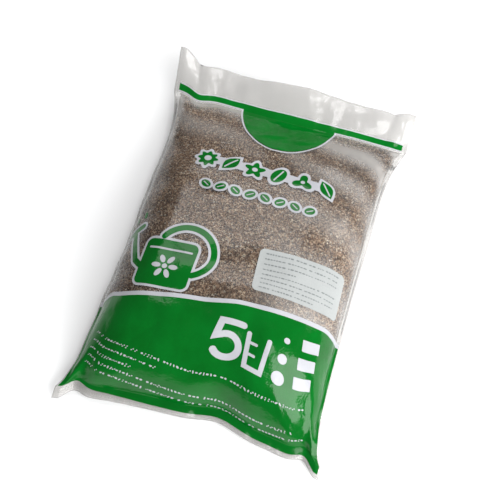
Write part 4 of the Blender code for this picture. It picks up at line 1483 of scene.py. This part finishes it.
    def plate(self, name: str, loops: Sequence[np.ndarray], material: bpy.types.Material, slot: str,
              nodes: Sequence[str], level: int = 0, thick: Optional[float] = None) -> bpy.types.Object:
        """Make one printed layer on the film.

        Args:
            name: the piece's name.
            loops: closed outlines on the film.
            material: its finish.
            slot: the record's material slot; not used.
            nodes: the construction's nodes that it replaces.
            level: how many layers lie under it.
            thick: its thickness, if it isn't ink.

        Returns:
            The piece.
        """
        flat, upper = self.cut(loops)
        s, l = flat.T
        thick = thick or self.thick
        foot = self.lift + level * (self.thick + self.layer_gap)
        count = len(flat)
        points = np.concatenate([self.bag.lift(s, l, foot + thick), self.bag.lift(s, l, foot)])
        sides = np.concatenate([upper[:, [0, 1]], upper[:, [1, 2]], upper[:, [2, 0]]])
        code, back_code = sides[:, 0] * count + sides[:, 1], sides[:, 1] * count + sides[:, 0]
        rim = sides[~np.isin(code, back_code)]
        walls = np.concatenate([
            np.stack([rim[:, 0], rim[:, 0] + count, rim[:, 1] + count], axis=-1),
            np.stack([rim[:, 0], rim[:, 1] + count, rim[:, 1]], axis=-1),
        ])
        triangles = np.concatenate([upper, upper[:, ::-1] + count, walls])
        obj = mesh_object(name, points, triangles, material, sharp=self.sharp)
        pressed = self.bag.pressed_share(s, l)
        add_values(obj, PRESSED, np.concatenate([pressed, pressed]))
        return settle(obj, nodes)


@dataclass
class PrintSheet:
    """The front film as it is printed: its edges, its two inks and the wave that the pictures stand on."""

    cutter: FilmCutter
    margin: float = 2.0
    stripe_above_seam: float = 2.0
    wave: Point = (108.0, 134.0)
    wave_band: float = 4.6
    green: InkFinish = InkFinish("green_ink", (0.0006, 0.12, 0.011), (0.0004, 0.09, 0.007))
    white: InkFinish = InkFinish("white_ink", (0.40, 0.405, 0.432), (0.37, 0.375, 0.40), 0.3)

    def __post_init__(self) -> None:
        """Mix the inks and find the print's edges."""
        form = self.cutter.bag.form
        self.seam = form.seam
        self.edge = form.film_width / 2 - self.margin
        self.stripe_low = form.head_seam + self.stripe_above_seam
        self.inks = {"green_ink": self.green.material(), "white_ink": self.white.material()}

    def print_piece(self, name: str, loops: Sequence[np.ndarray], ink: str, nodes: Sequence[str],
                    level: int = 0) -> bpy.types.Object:
        """Print one piece in one ink."""
        return self.cutter.plate(name, loops, self.inks[ink], ink, nodes, level)

    def wave_line(self, s: np.ndarray) -> np.ndarray:
        """Upper edge of the green field, which climbs from left to right in one soft wave."""
        share = (s + self.edge) / (2.0 * self.edge)
        return self.wave[0] + (self.wave[1] - self.wave[0]) * (0.5 - 0.5 * np.cos(math.pi * share))


@dataclass
class ColourFields:
    """The green field at the foot, and the stripe and half disc at the head, with their white edges."""

    sheet: PrintSheet
    field_foot: float = 4.5
    foot_climb: float = 8.0
    foot_climb_at: float = -30.0
    field_steps: int = 120
    stripe_width: float = 6.0
    stripe_edge: float = 1.1
    stripe_corners: Point = (0.4, 0.5)
    disc_middle: float = 1.0
    disc_radii: Point = (47.0, 64.0)
    disc_rim: float = 1.8
    disc_steps: int = 72

    def foot_line(self, s: np.ndarray) -> np.ndarray:
        """Lower edge of the green field, which climbs off the flange at the left."""
        share = np.clip((self.foot_climb_at - s) / (self.foot_climb_at + self.sheet.edge), 0.0, None)
        return self.field_foot + self.foot_climb * share ** 1.5

    def build_foot(self) -> None:
        """The green field, and the white band above it."""
        sheet = self.sheet
        s = np.linspace(-sheet.edge, sheet.edge, self.field_steps + 1)
        top = np.stack([s, sheet.wave_line(s)], axis=-1)
        foot = np.stack([s, self.foot_line(s)], axis=-1)[::-1]
        sheet.print_piece("green_field_print", [np.concatenate([foot, top])], "green_ink", ["green_field"])
        band = np.concatenate([top, (top + (0.0, sheet.wave_band))[::-1]])
        sheet.print_piece("white_wave_print", [band], "white_ink", ["white_wave"])

    def build_head(self) -> None:
        """The stripe and the half disc, each with a thin white edge."""
        sheet = self.sheet
        middle, length = (0.0, sheet.stripe_low + self.stripe_width / 2), 2 * sheet.seam
        stripe = rounded_box(middle, (length, self.stripe_width), self.stripe_corners[0])
        edge_width = self.stripe_width + 2 * self.stripe_edge
        edge = rounded_box(middle, (length, edge_width), self.stripe_corners[1])
        sheet.print_piece("stripe_edges", [edge], "white_ink", [])
        sheet.print_piece("stripe_print", [stripe], "green_ink", ["header_stripe"], 1)
        base = (self.disc_middle, sheet.stripe_low)
        disc = arc(base, self.disc_radii, 180.0, 360.0, self.disc_steps)
        sheet.print_piece("half_disc_print", [disc], "green_ink", ["half_disc"], 1)
        base = (self.disc_middle, sheet.stripe_low - self.stripe_edge)
        near = arc(base, self.disc_radii, 180.0, 360.0, self.disc_steps)
        rim_radii = [radius + self.disc_rim for radius in self.disc_radii]
        rim = np.concatenate([near, arc(base, rim_radii, 360.0, 180.0, self.disc_steps)])
        sheet.print_piece("disc_rim_print", [rim], "white_ink", ["disc_rim"])

    def build(self) -> None:
        """Print the fields."""
        self.build_foot()
        self.build_head()


@dataclass
class MarkRows:
    """Two rows in the middle of the front: six garden marks, and eight small seeds under them."""

    sheet: PrintSheet
    middle: float = 2.0
    below_stripe: float = 104.0
    radius: float = 11.2
    space: float = 2.8
    halo: float = 4.0
    band: float = 12.0
    sun: tuple[int, float] = (8, 0.3)
    flower: tuple[int, float] = (5, 0.45)
    clover: tuple[int, float] = (3, 0.6)
    leaf_size: Point = (2.2, 1.2)
    leaf_turns: Point = (55.0, 125.0)
    seed_width: float = 0.62
    seed_turn: float = 70.0
    rings: Triple = (0.34, 0.26, 0.2)
    vein_reach: float = 0.75
    vein_width: float = 1.5
    small_below: float = 34.0
    small_size: Point = (5.6, 4.2)
    small_space: float = 4.2
    small_count: int = 8
    small_turn: float = math.radians(35)
    small_halo: float = 2.6
    small_vein: Point = (0.6, 1.0)

    def centres(self) -> np.ndarray:
        """Middles of the six garden marks."""
        pitch, line = 2 * self.radius + self.space, self.sheet.stripe_low - self.below_stripe
        return np.array([(self.middle + pitch * (step - 2.5), line) for step in range(6)])

    def outlines(self, grow: float) -> list[np.ndarray]:
        """Six plain garden marks: sun, leaf, flower, seed, clover and leaf again.

        Args:
            grow: how far each outline lies outside the mark.

        Returns:
            Their outlines.
        """
        centres = self.centres()
        radius = self.radius + grow
        share = self.radius / radius
        length, width = self.leaf_size[0] * radius, self.leaf_size[1] * radius
        first_turn, last_turn = (math.radians(turn) for turn in self.leaf_turns)
        return [
            lobed(centres[0], radius, self.sun[0], self.sun[1] * share),
            leaf(centres[1], length, width, first_turn),
            lobed(centres[2], radius, self.flower[0], self.flower[1] * share),
            ellipse(centres[3], (self.seed_width * radius, radius), math.radians(self.seed_turn - 90.0)),
            lobed(centres[4], radius, self.clover[0], self.clover[1] * share),
            leaf(centres[5], length, width, last_turn),
        ]

    def build_details(self) -> None:
        """White veins, rings and hearts on the garden marks."""
        centres = self.centres()
        loops = [ellipse(centres[2 * step], (share * self.radius, share * self.radius))
                 for step, share in enumerate(self.rings)]
        for step, turn in ((1, self.leaf_turns[0]), (5, self.leaf_turns[1]), (3, self.seed_turn)):
            centre = centres[step]
            along = np.array([math.cos(math.radians(turn)), math.sin(math.radians(turn))])
            reach = along * self.vein_reach * self.radius
            loops += ribbon([centre - reach, centre + reach], self.vein_width)
        self.sheet.print_piece("title_details_print", loops, "white_ink", [], 2)

    def small_places(self) -> list[tuple[np.ndarray, np.ndarray]]:
        """Lay out the second row, whose seeds lean to and fro.

        Returns:
            Middle and direction of each seed.
        """
        pitch = 2 * self.small_size[0] + self.small_space
        line = self.sheet.stripe_low - self.below_stripe - self.small_below
        places = []
        for step in range(self.small_count):
            turn = self.small_turn if step % 2 else -self.small_turn
            middle = self.middle + pitch * (step - (self.small_count - 1) / 2)
            places.append((np.array([middle, line]), np.array([math.cos(turn), math.sin(turn)])))
        return places

    def small_outlines(self, grow: float) -> list[np.ndarray]:
        """The second row's seeds, or their halo."""
        radii = [radius + grow for radius in self.small_size]
        return [ellipse(centre, radii, math.atan2(turn[1], turn[0])) for centre, turn in self.small_places()]

    def build(self) -> None:
        """Print both rows."""
        sheet, line = self.sheet, self.sheet.stripe_low - self.below_stripe
        width = 6 * (2 * self.radius + self.space) - self.band
        band = rounded_box((self.middle, line), (width, self.band), self.band / 3)
        halo = [*self.outlines(self.halo), band]
        sheet.print_piece("title_halo_print", halo, "white_ink", ["title_halo"])
        nodes = [f"title_mark_{step + 1}" for step in range(6)]
        sheet.print_piece("title_marks_print", self.outlines(0.0), "green_ink", nodes, 1)
        self.build_details()
        nodes = [f"subtitle_mark_{step + 1}" for step in range(self.small_count)]
        sheet.print_piece("subtitle_halo_print", self.small_outlines(self.small_halo), "white_ink", [])
        sheet.print_piece("subtitle_marks_print", self.small_outlines(0.0), "green_ink", nodes, 1)
        veins = []
        for centre, turn in self.small_places():
            reach = self.small_vein[0] * self.small_size[0] * turn
            veins += ribbon([centre - reach, centre + reach], self.small_vein[1])
        sheet.print_piece("subtitle_veins_print", veins, "white_ink", [], 2)


@dataclass
class GardenPicture:
    """The garden picture: a watering can with a flower on it, and drops above its rose.

    Places on the can are shares of half its body's width and height, from the body's middle.
    """

    sheet: PrintSheet
    middle: float = -60.0
    above_wave: float = 4.0
    body: Point = (54.0, 50.0)
    corner: float = 6.0
    stroke: float = 6.0
    halo: float = 2.6
    spout: tuple[Point, ...] = ((-0.6, -0.5), (-1.3, 0.0), (-1.87, 1.2))
    rose: tuple[Point, ...] = ((-2.3, 1.15), (-1.57, 1.55))
    handle: Triple = (0.52, 0.6, 1.07)
    handle_turn: Point = (-60.0, 150.0)
    rim: tuple[Point, ...] = ((-0.8, 0.62), (0.8, 0.62))
    rim_width: float = 2.2
    flower: Point = (0.0, -0.15)
    petal: Point = (4.6, 2.6)
    petal_reach: float = 1.9
    petals: int = 6
    drop: Point = (2.2, 4.0)
    drop_turn: float = 0.3
    drop_from: Point = (-2.3, 1.2)
    drop_step: Point = (0.4, 0.22)
    drop_room: float = 1.2

    def __post_init__(self) -> None:
        """Stand the can's body just above the wave."""
        sheet = self.sheet
        foot = float(sheet.wave_line(np.array(self.middle))) + sheet.wave_band + self.above_wave + self.halo
        self.centre = np.array([self.middle, foot + self.body[1] / 2])
        self.half = np.array(self.body) / 2

    def outlines(self, grow: float) -> list[np.ndarray]:
        """A watering can seen from the side: body, spout, rose and handle.

        Args:
            grow: how far each outline lies outside the can.

        Returns:
            Their outlines.
        """
        stroke = self.stroke + 2 * grow
        body = rounded_box(self.centre, 2 * (self.half + grow), self.corner + grow)
        spout = ribbon(self.centre + self.half * self.spout, stroke)
        rose = ribbon(self.centre + self.half * self.rose, stroke)
        base = self.centre + self.half * self.handle[:2]
        handle = ribbon(arc(base, self.half * self.handle[2], *self.handle_turn), stroke)
        return [body, *spout, *rose, *handle]

    def details(self) -> list[np.ndarray]:
        """The rim and the flower on the can's body.

        Returns:
            Their outlines.
        """
        middle = self.centre + self.half * self.flower
        loops = [*ribbon(self.centre + self.half * self.rim, self.rim_width)]
        loops.append(ellipse(middle, (self.petal[1], self.petal[1]), 0.0, 24))
        for turn in np.linspace(0.0, 2 * math.pi, self.petals, endpoint=False):
            reach = np.array([math.cos(turn), math.sin(turn)]) * self.petal_reach * self.petal[0]
            loops.append(ellipse(middle + reach, self.petal, turn, 24))
        return loops

    def build(self) -> None:
        """Print the picture."""
        sheet = self.sheet
        sheet.print_piece("can_halo_print", self.outlines(self.halo), "white_ink", ["can_halo"])
        sheet.print_piece("can_print", self.outlines(0.0), "green_ink", ["can_picture"], 1)
        sheet.print_piece("can_details_print", self.details(), "white_ink", [], 2)
        clear = (self.stroke / 2 + self.halo + self.drop[1]) * self.drop_room
        loops = []
        for step in range(3):
            place = np.array(self.drop_from) + step * np.array(self.drop_step)
            centre = self.centre + self.half * place + (-0.5 * clear, clear)
            loops.append(ellipse(centre, self.drop, self.drop_turn, 20))
        nodes = [f"can_drop_{step + 1}" for step in range(3)]
        sheet.print_piece("can_drops_print", loops, "green_ink", nodes)


@dataclass
class CapacityMarks:
    """A plain numeral and a measuring cup, and three boxes with a dot each for the size of grain."""

    sheet: PrintSheet
    numeral_foot: Point = (7.0, 68.0)
    numeral_size: Point = (23.0, 36.0)
    numeral_stroke: float = 6.6
    stem_top: float = 0.12
    stem_foot: Point = (0.02, 1.72)
    bowl_share: float = 0.32
    bowl_reach: float = 0.52
    bowl_turn: Point = (120.0, -150.0)
    cup_size: Point = (20.0, 31.0)
    cup_stroke: float = 4.6
    cup_taper: float = 0.1
    cup_ticks: Point = (0.4, 0.75)
    tick_end: float = 0.45
    tick_stroke: float = 0.6
    mark_space: float = 1.4
    grain_dots: Triple = (3.0, 4.6, 6.4)
    dot_space: float = 6.3
    dot_drop: float = 4.5
    box_space: Point = (9.0, 7.0)
    box_size: Point = (19.5, 11.0)
    box_corner: float = 0.8
    box_top: float = 112.5
    box_turn: float = math.radians(8)

    def cup_left(self) -> float:
        """Left edge of the measuring cup, clear of the numeral."""
        strokes = (self.numeral_stroke + self.cup_stroke) / 2
        return self.numeral_foot[0] + self.numeral_size[0] + strokes + self.mark_space

    def build_numeral(self) -> None:
        """The numeral 5, in one stroke."""
        s, l = self.numeral_foot
        width, height = self.numeral_size
        bowl = height * self.bowl_share
        stem_foot = (s + self.stem_foot[0] * width, l + self.stem_foot[1] * bowl)
        path = [(s + width, l + height), (s + self.stem_top * width, l + height), stem_foot]
        curve = arc((s + width / 2, l + bowl), (width * self.bowl_reach, bowl), *self.bowl_turn)
        numeral = ribbon(np.concatenate([path, curve]), self.numeral_stroke)
        self.sheet.print_piece("numeral_print", numeral, "white_ink", ["capacity_numeral"], 1)

    def build_cup(self) -> None:
        """The measuring cup, with its ticks."""
        s, l = self.cup_left(), self.numeral_foot[1]
        width, height = self.cup_size
        inner, outer = s + self.cup_taper * width, s + (1.0 - self.cup_taper) * width
        strokes = ribbon([(s, l + height), (inner, l), (outer, l), (s + width, l + height)], self.cup_stroke)
        for share in self.cup_ticks:
            tick = [(inner, l + share * height), (s + self.tick_end * width, l + share * height)]
            strokes += ribbon(tick, self.tick_stroke * self.cup_stroke)
        self.sheet.print_piece("cup_print", strokes, "white_ink", ["measuring_cup"], 1)

    def build_choices(self) -> None:
        """Three white boxes with a dot beside each, for fine, middle and coarse grain."""
        cup_right = self.cup_left() + self.cup_size[0] + self.cup_stroke / 2
        dots = cup_right + self.dot_space + max(self.grain_dots)
        boxes = dots + max(self.grain_dots) + self.box_space[0] + self.box_size[0] / 2
        box_loops, dot_loops = [], []
        for step, radius in enumerate(self.grain_dots):
            l = self.box_top - step * (self.box_size[1] + self.box_space[1])
            box_loops.append(rounded_box((boxes, l), self.box_size, self.box_corner, self.box_turn))
            dot_loops.append(ellipse((dots, l - self.dot_drop), (radius, radius)))
        box_nodes, dot_nodes = ([f"{name}_{n}" for n in (1, 2, 3)] for name in ("choice_box", "grain_dot"))
        self.sheet.print_piece("choice_boxes_print", box_loops, "white_ink", box_nodes, 1)
        self.sheet.print_piece("grain_dots_print", dot_loops, "white_ink", dot_nodes, 1)

    def build(self) -> None:
        """Print the numeral, the cup and the choices."""
        self.build_numeral()
        self.build_cup()
        self.build_choices()


@dataclass
class SmallPrint:
    """Rows of small white marks on the green field, where small print would run."""

    sheet: PrintSheet
    margin: float = 3.0
    reach: float = 113.0
    top: float = 48.0
    pitch: float = 8.2
    height: float = 4.2
    sag: float = 31.0
    sag_at: float = 30.0
    shares: tuple[float, ...] = (0.9, 0.37, 0.3, 0.86, 0.91)
    row_end: float = 4.0
    widths: Point = (2.4, 3.4)
    spaces: Point = (0.5, 3.2)
    close_share: float = 0.88
    tall: Point = (0.7, 0.95)
    lean: float = 0.7
    seed_size: Point = (0.46, 0.24)
    block_size: Triple = (0.8, 0.46, 0.18)
    dots_turn: float = 0.8
    dots_size: Triple = (0.27, 0.19, 0.16)
    bean_size: Point = (0.24, 0.42)
    draw_seed: int = 31

    def small_mark(self, draw: np.random.Generator, centre: Point, wide: float,
                   slope: float) -> list[np.ndarray]:
        """One small mark: a seed, a rounded block, a pair of dots or a bean.

        Args:
            draw: the random draw.
            centre: its middle on the film.
            wide: its width.
            slope: how much its row climbs, in radians.

        Returns:
            The mark's outlines.
        """
        tall = self.height * draw.uniform(*self.tall)
        lean = slope + draw.uniform(-self.lean, self.lean)
        kind = draw.integers(4)
        if kind == 0:
            return [ellipse(centre, (self.seed_size[0] * wide, self.seed_size[1] * tall), lean, 12)]
        if kind == 1:
            size = (self.block_size[0] * wide, self.block_size[1] * tall)
            return [rounded_box(centre, size, self.block_size[2] * tall, slope, 3)]
        if kind == 2:
            apart, long, short = (share * tall for share in self.dots_size)
            turn = lean + self.dots_turn
            step = np.array([math.cos(turn), math.sin(turn)]) * apart
            return [ellipse(centre + side * step, (long, short), lean, 10) for side in (-1.0, 1.0)]
        return [ellipse(centre, (self.bean_size[0] * wide, self.bean_size[1] * tall), lean, 12)]

    def build(self) -> None:
        """Print the rows, which sag in the middle."""
        draw = np.random.default_rng(self.draw_seed)
        left = self.margin - self.sheet.edge
        loops = []
        for row, share in enumerate(self.shares):
            run = 0.0
            length = -2 * left * share
            while run < length - self.row_end:
                wide = draw.uniform(*self.widths)
                middle = left + run + wide / 2
                off = (middle - self.sag_at) / (self.sag_at - left)
                centre = (middle, self.top - row * self.pitch + self.sag * off ** 2)
                slope = math.atan(2 * self.sag * off / (self.sag_at - left))
                if middle > -self.reach:
                    loops += self.small_mark(draw, centre, wide, slope)
                run += wide + self.spaces[0 if draw.random() < self.close_share else 1]
        nodes = [f"text_line_{row + 1}" for row in range(len(self.shares))]
        self.sheet.print_piece("small_print", loops, "white_ink", nodes, 1)


@dataclass
class PaperLabel:
    """The paper label stuck on the film, with faint rows of print."""

    cutter: FilmCutter
    middle: Point = (70.0, 170.2)
    size: Point = (92.0, 46.0)
    corner: float = 5.0
    turn: float = math.radians(4)
    paper_thick: float = 0.2
    print_thick: float = 0.05
    rows: int = 8
    row_room: Point = (0.9, 0.8)
    row_from: float = 0.43
    row_share: float = 0.86
    short_row: Point = (0.3, 0.7)
    row_end: float = 3.0
    dash_wide: Point = (1.2, 3.4)
    dash_tall: Point = (0.7, 1.3)
    dash_corner: float = 0.3
    spaces: Point = (0.9, 2.6)
    close_share: float = 0.85
    draw_seed: int = 47
    faint: InkFinish = InkFinish("faint_print", (0.13, 0.145, 0.145), (0.19, 0.205, 0.205), 0.5)

    def dashes(self) -> list[np.ndarray]:
        """Lay out the dashes of all rows, every fourth row short.

        Returns:
            Their outlines.
        """
        draw = np.random.default_rng(self.draw_seed)
        loops = []
        for row in range(self.rows):
            length = self.size[0] * (self.row_share if row % 4 != 3 else draw.uniform(*self.short_row))
            down = self.size[1] * (0.5 - (row + self.row_room[0]) / (self.rows + self.row_room[1]))
            run = -self.row_from * self.size[0]
            while run < length - self.row_from * self.size[0] - self.row_end:
                wide = draw.uniform(*self.dash_wide)
                size = (wide, draw.uniform(*self.dash_tall))
                dash = rounded_box((run + wide / 2, down), size, self.dash_corner, 0.0, 1)
                loops.append(turned(dash, self.turn) + self.middle)
                run += wide + self.spaces[0 if draw.random() < self.close_share else 1]
        return loops

    def build(self) -> None:
        """Build the paper and its rows."""
        outline = rounded_box(self.middle, self.size, self.corner, self.turn)
        material = LabelFinish().material()
        plate = self.cutter.plate
        plate("label_sheet", [outline], material, "label_paper", ["paper_label"], thick=self.paper_thick)
        faint = self.faint.material()
        plate("label_rows", self.dashes(), faint, "label_paper", [], 2, thick=self.print_thick)


@dataclass(frozen=True)
class SoftBox:
    """One soft light, by its direction from the bag: heading from +Y towards +X, and height."""

    name: str
    heading: float
    height: float
    distance: float
    size: Point
    radiance: float


@dataclass
class Studio:
    """Pale floor, soft lights and the camera."""

    lights: tuple[SoftBox, ...] = (
        SoftBox("key", 126.0, 32.0, 1.3, (1.3, 0.85), 7.8),
        SoftBox("high_front", 138.0, 63.0, 1.4, (0.6, 0.36), 6.5),
        SoftBox("side", 57.0, 28.0, 1.4, (0.8, 0.6), 2.2),
        SoftBox("back", -5.0, 8.0, 1.6, (2.0, 0.4), 0.4),
        SoftBox("top", -14.0, 50.0, 2.2, (2.6, 1.4), 3.2),
    )
    world: float = 0.15
    world_colour: Colour = (0.95, 0.97, 1.0)
    floor_size: float = 8.0
    target: tuple[float, float, float] = (0.0, -0.0111, 0.03)
    azimuth: float = math.radians(18.69)
    elevation: float = math.radians(65.97)
    distance: float = 0.9021
    focal: float = 850.0
    picture: float = 500.0
    sensor: float = 36.0
    target_pixel: Point = (240.5, 255.6)

    def build_floor(self) -> None:
        """A plain pale floor."""
        bpy.ops.mesh.primitive_plane_add(size=self.floor_size)
        floor = bpy.context.object
        floor.name = "floor"
        floor.data.materials.append(FloorFinish().material())

    def build_camera(self) -> None:
        """The camera, aimed so that the target falls on its pixel."""
        level = math.cos(self.elevation)
        back = Vector((math.sin(self.azimuth) * level, -math.cos(self.azimuth) * level,
                       math.sin(self.elevation)))
        right = Vector((math.cos(self.azimuth), math.sin(self.azimuth), 0.0))
        up = back.cross(right)
        target = Vector(self.target)
        across = (self.picture / 2 - self.target_pixel[0]) / self.focal * self.distance
        down = (self.target_pixel[1] - self.picture / 2) / self.focal * self.distance
        aim = target + right * across + up * down
        data = bpy.data.cameras.new("camera")
        data.sensor_width = self.sensor
        data.lens = self.sensor * self.focal / self.picture
        camera = bpy.data.objects.new("camera", data)
        camera.location = target + back * self.distance
        camera.rotation_euler = (camera.location - aim).to_track_quat("Z", "Y").to_euler()
        bpy.context.scene.collection.objects.link(camera)
        bpy.context.scene.camera = camera

    def add_light(self, panel: SoftBox) -> None:
        """Hang one soft light.

        Args:
            panel: its size, direction and strength.
        """
        data = bpy.data.lights.new(panel.name, "AREA")
        data.shape = "RECTANGLE"
        data.size, data.size_y = panel.size
        data.energy = panel.radiance * math.pi * panel.size[0] * panel.size[1]
        light = bpy.data.objects.new(panel.name, data)
        heading, height = math.radians(panel.heading), math.radians(panel.height)
        level = math.cos(height)
        away = Vector((math.sin(heading) * level, math.cos(heading) * level, math.sin(height)))
        light.location = away * panel.distance
        light.rotation_euler = away.to_track_quat("Z", "Y").to_euler()
        light.visible_camera = False
        bpy.context.scene.collection.objects.link(light)

    def build(self) -> None:
        """Build the floor, the lights, the surroundings and the camera."""
        self.build_floor()
        self.build_camera()
        for light in self.lights:
            self.add_light(light)
        world = bpy.data.worlds.new("studio")
        world.use_nodes = True
        background = world.node_tree.nodes["Background"]
        background.inputs["Color"].default_value = (*self.world_colour, 1.0)
        background.inputs["Strength"].default_value = self.world
        bpy.context.scene.world = world


def main() -> None:
    """Build the studio and the bag."""
    logging.basicConfig(level=logging.INFO, format="%(name)s: %(message)s")
    bpy.context.scene.view_settings.view_transform = "Standard"
    Studio().build()
    form = BagForm()
    bag = FilmBag(form)
    bag.build()
    GrainFill(form).build()
    cutter = FilmCutter(bag)
    sheet = PrintSheet(cutter)
    for part in (ColourFields, MarkRows, GardenPicture, CapacityMarks, SmallPrint):
        part(sheet).build()
    PaperLabel(cutter).build()
    bpy.context.view_layer.update()


if __name__ == "__main__":
    main()
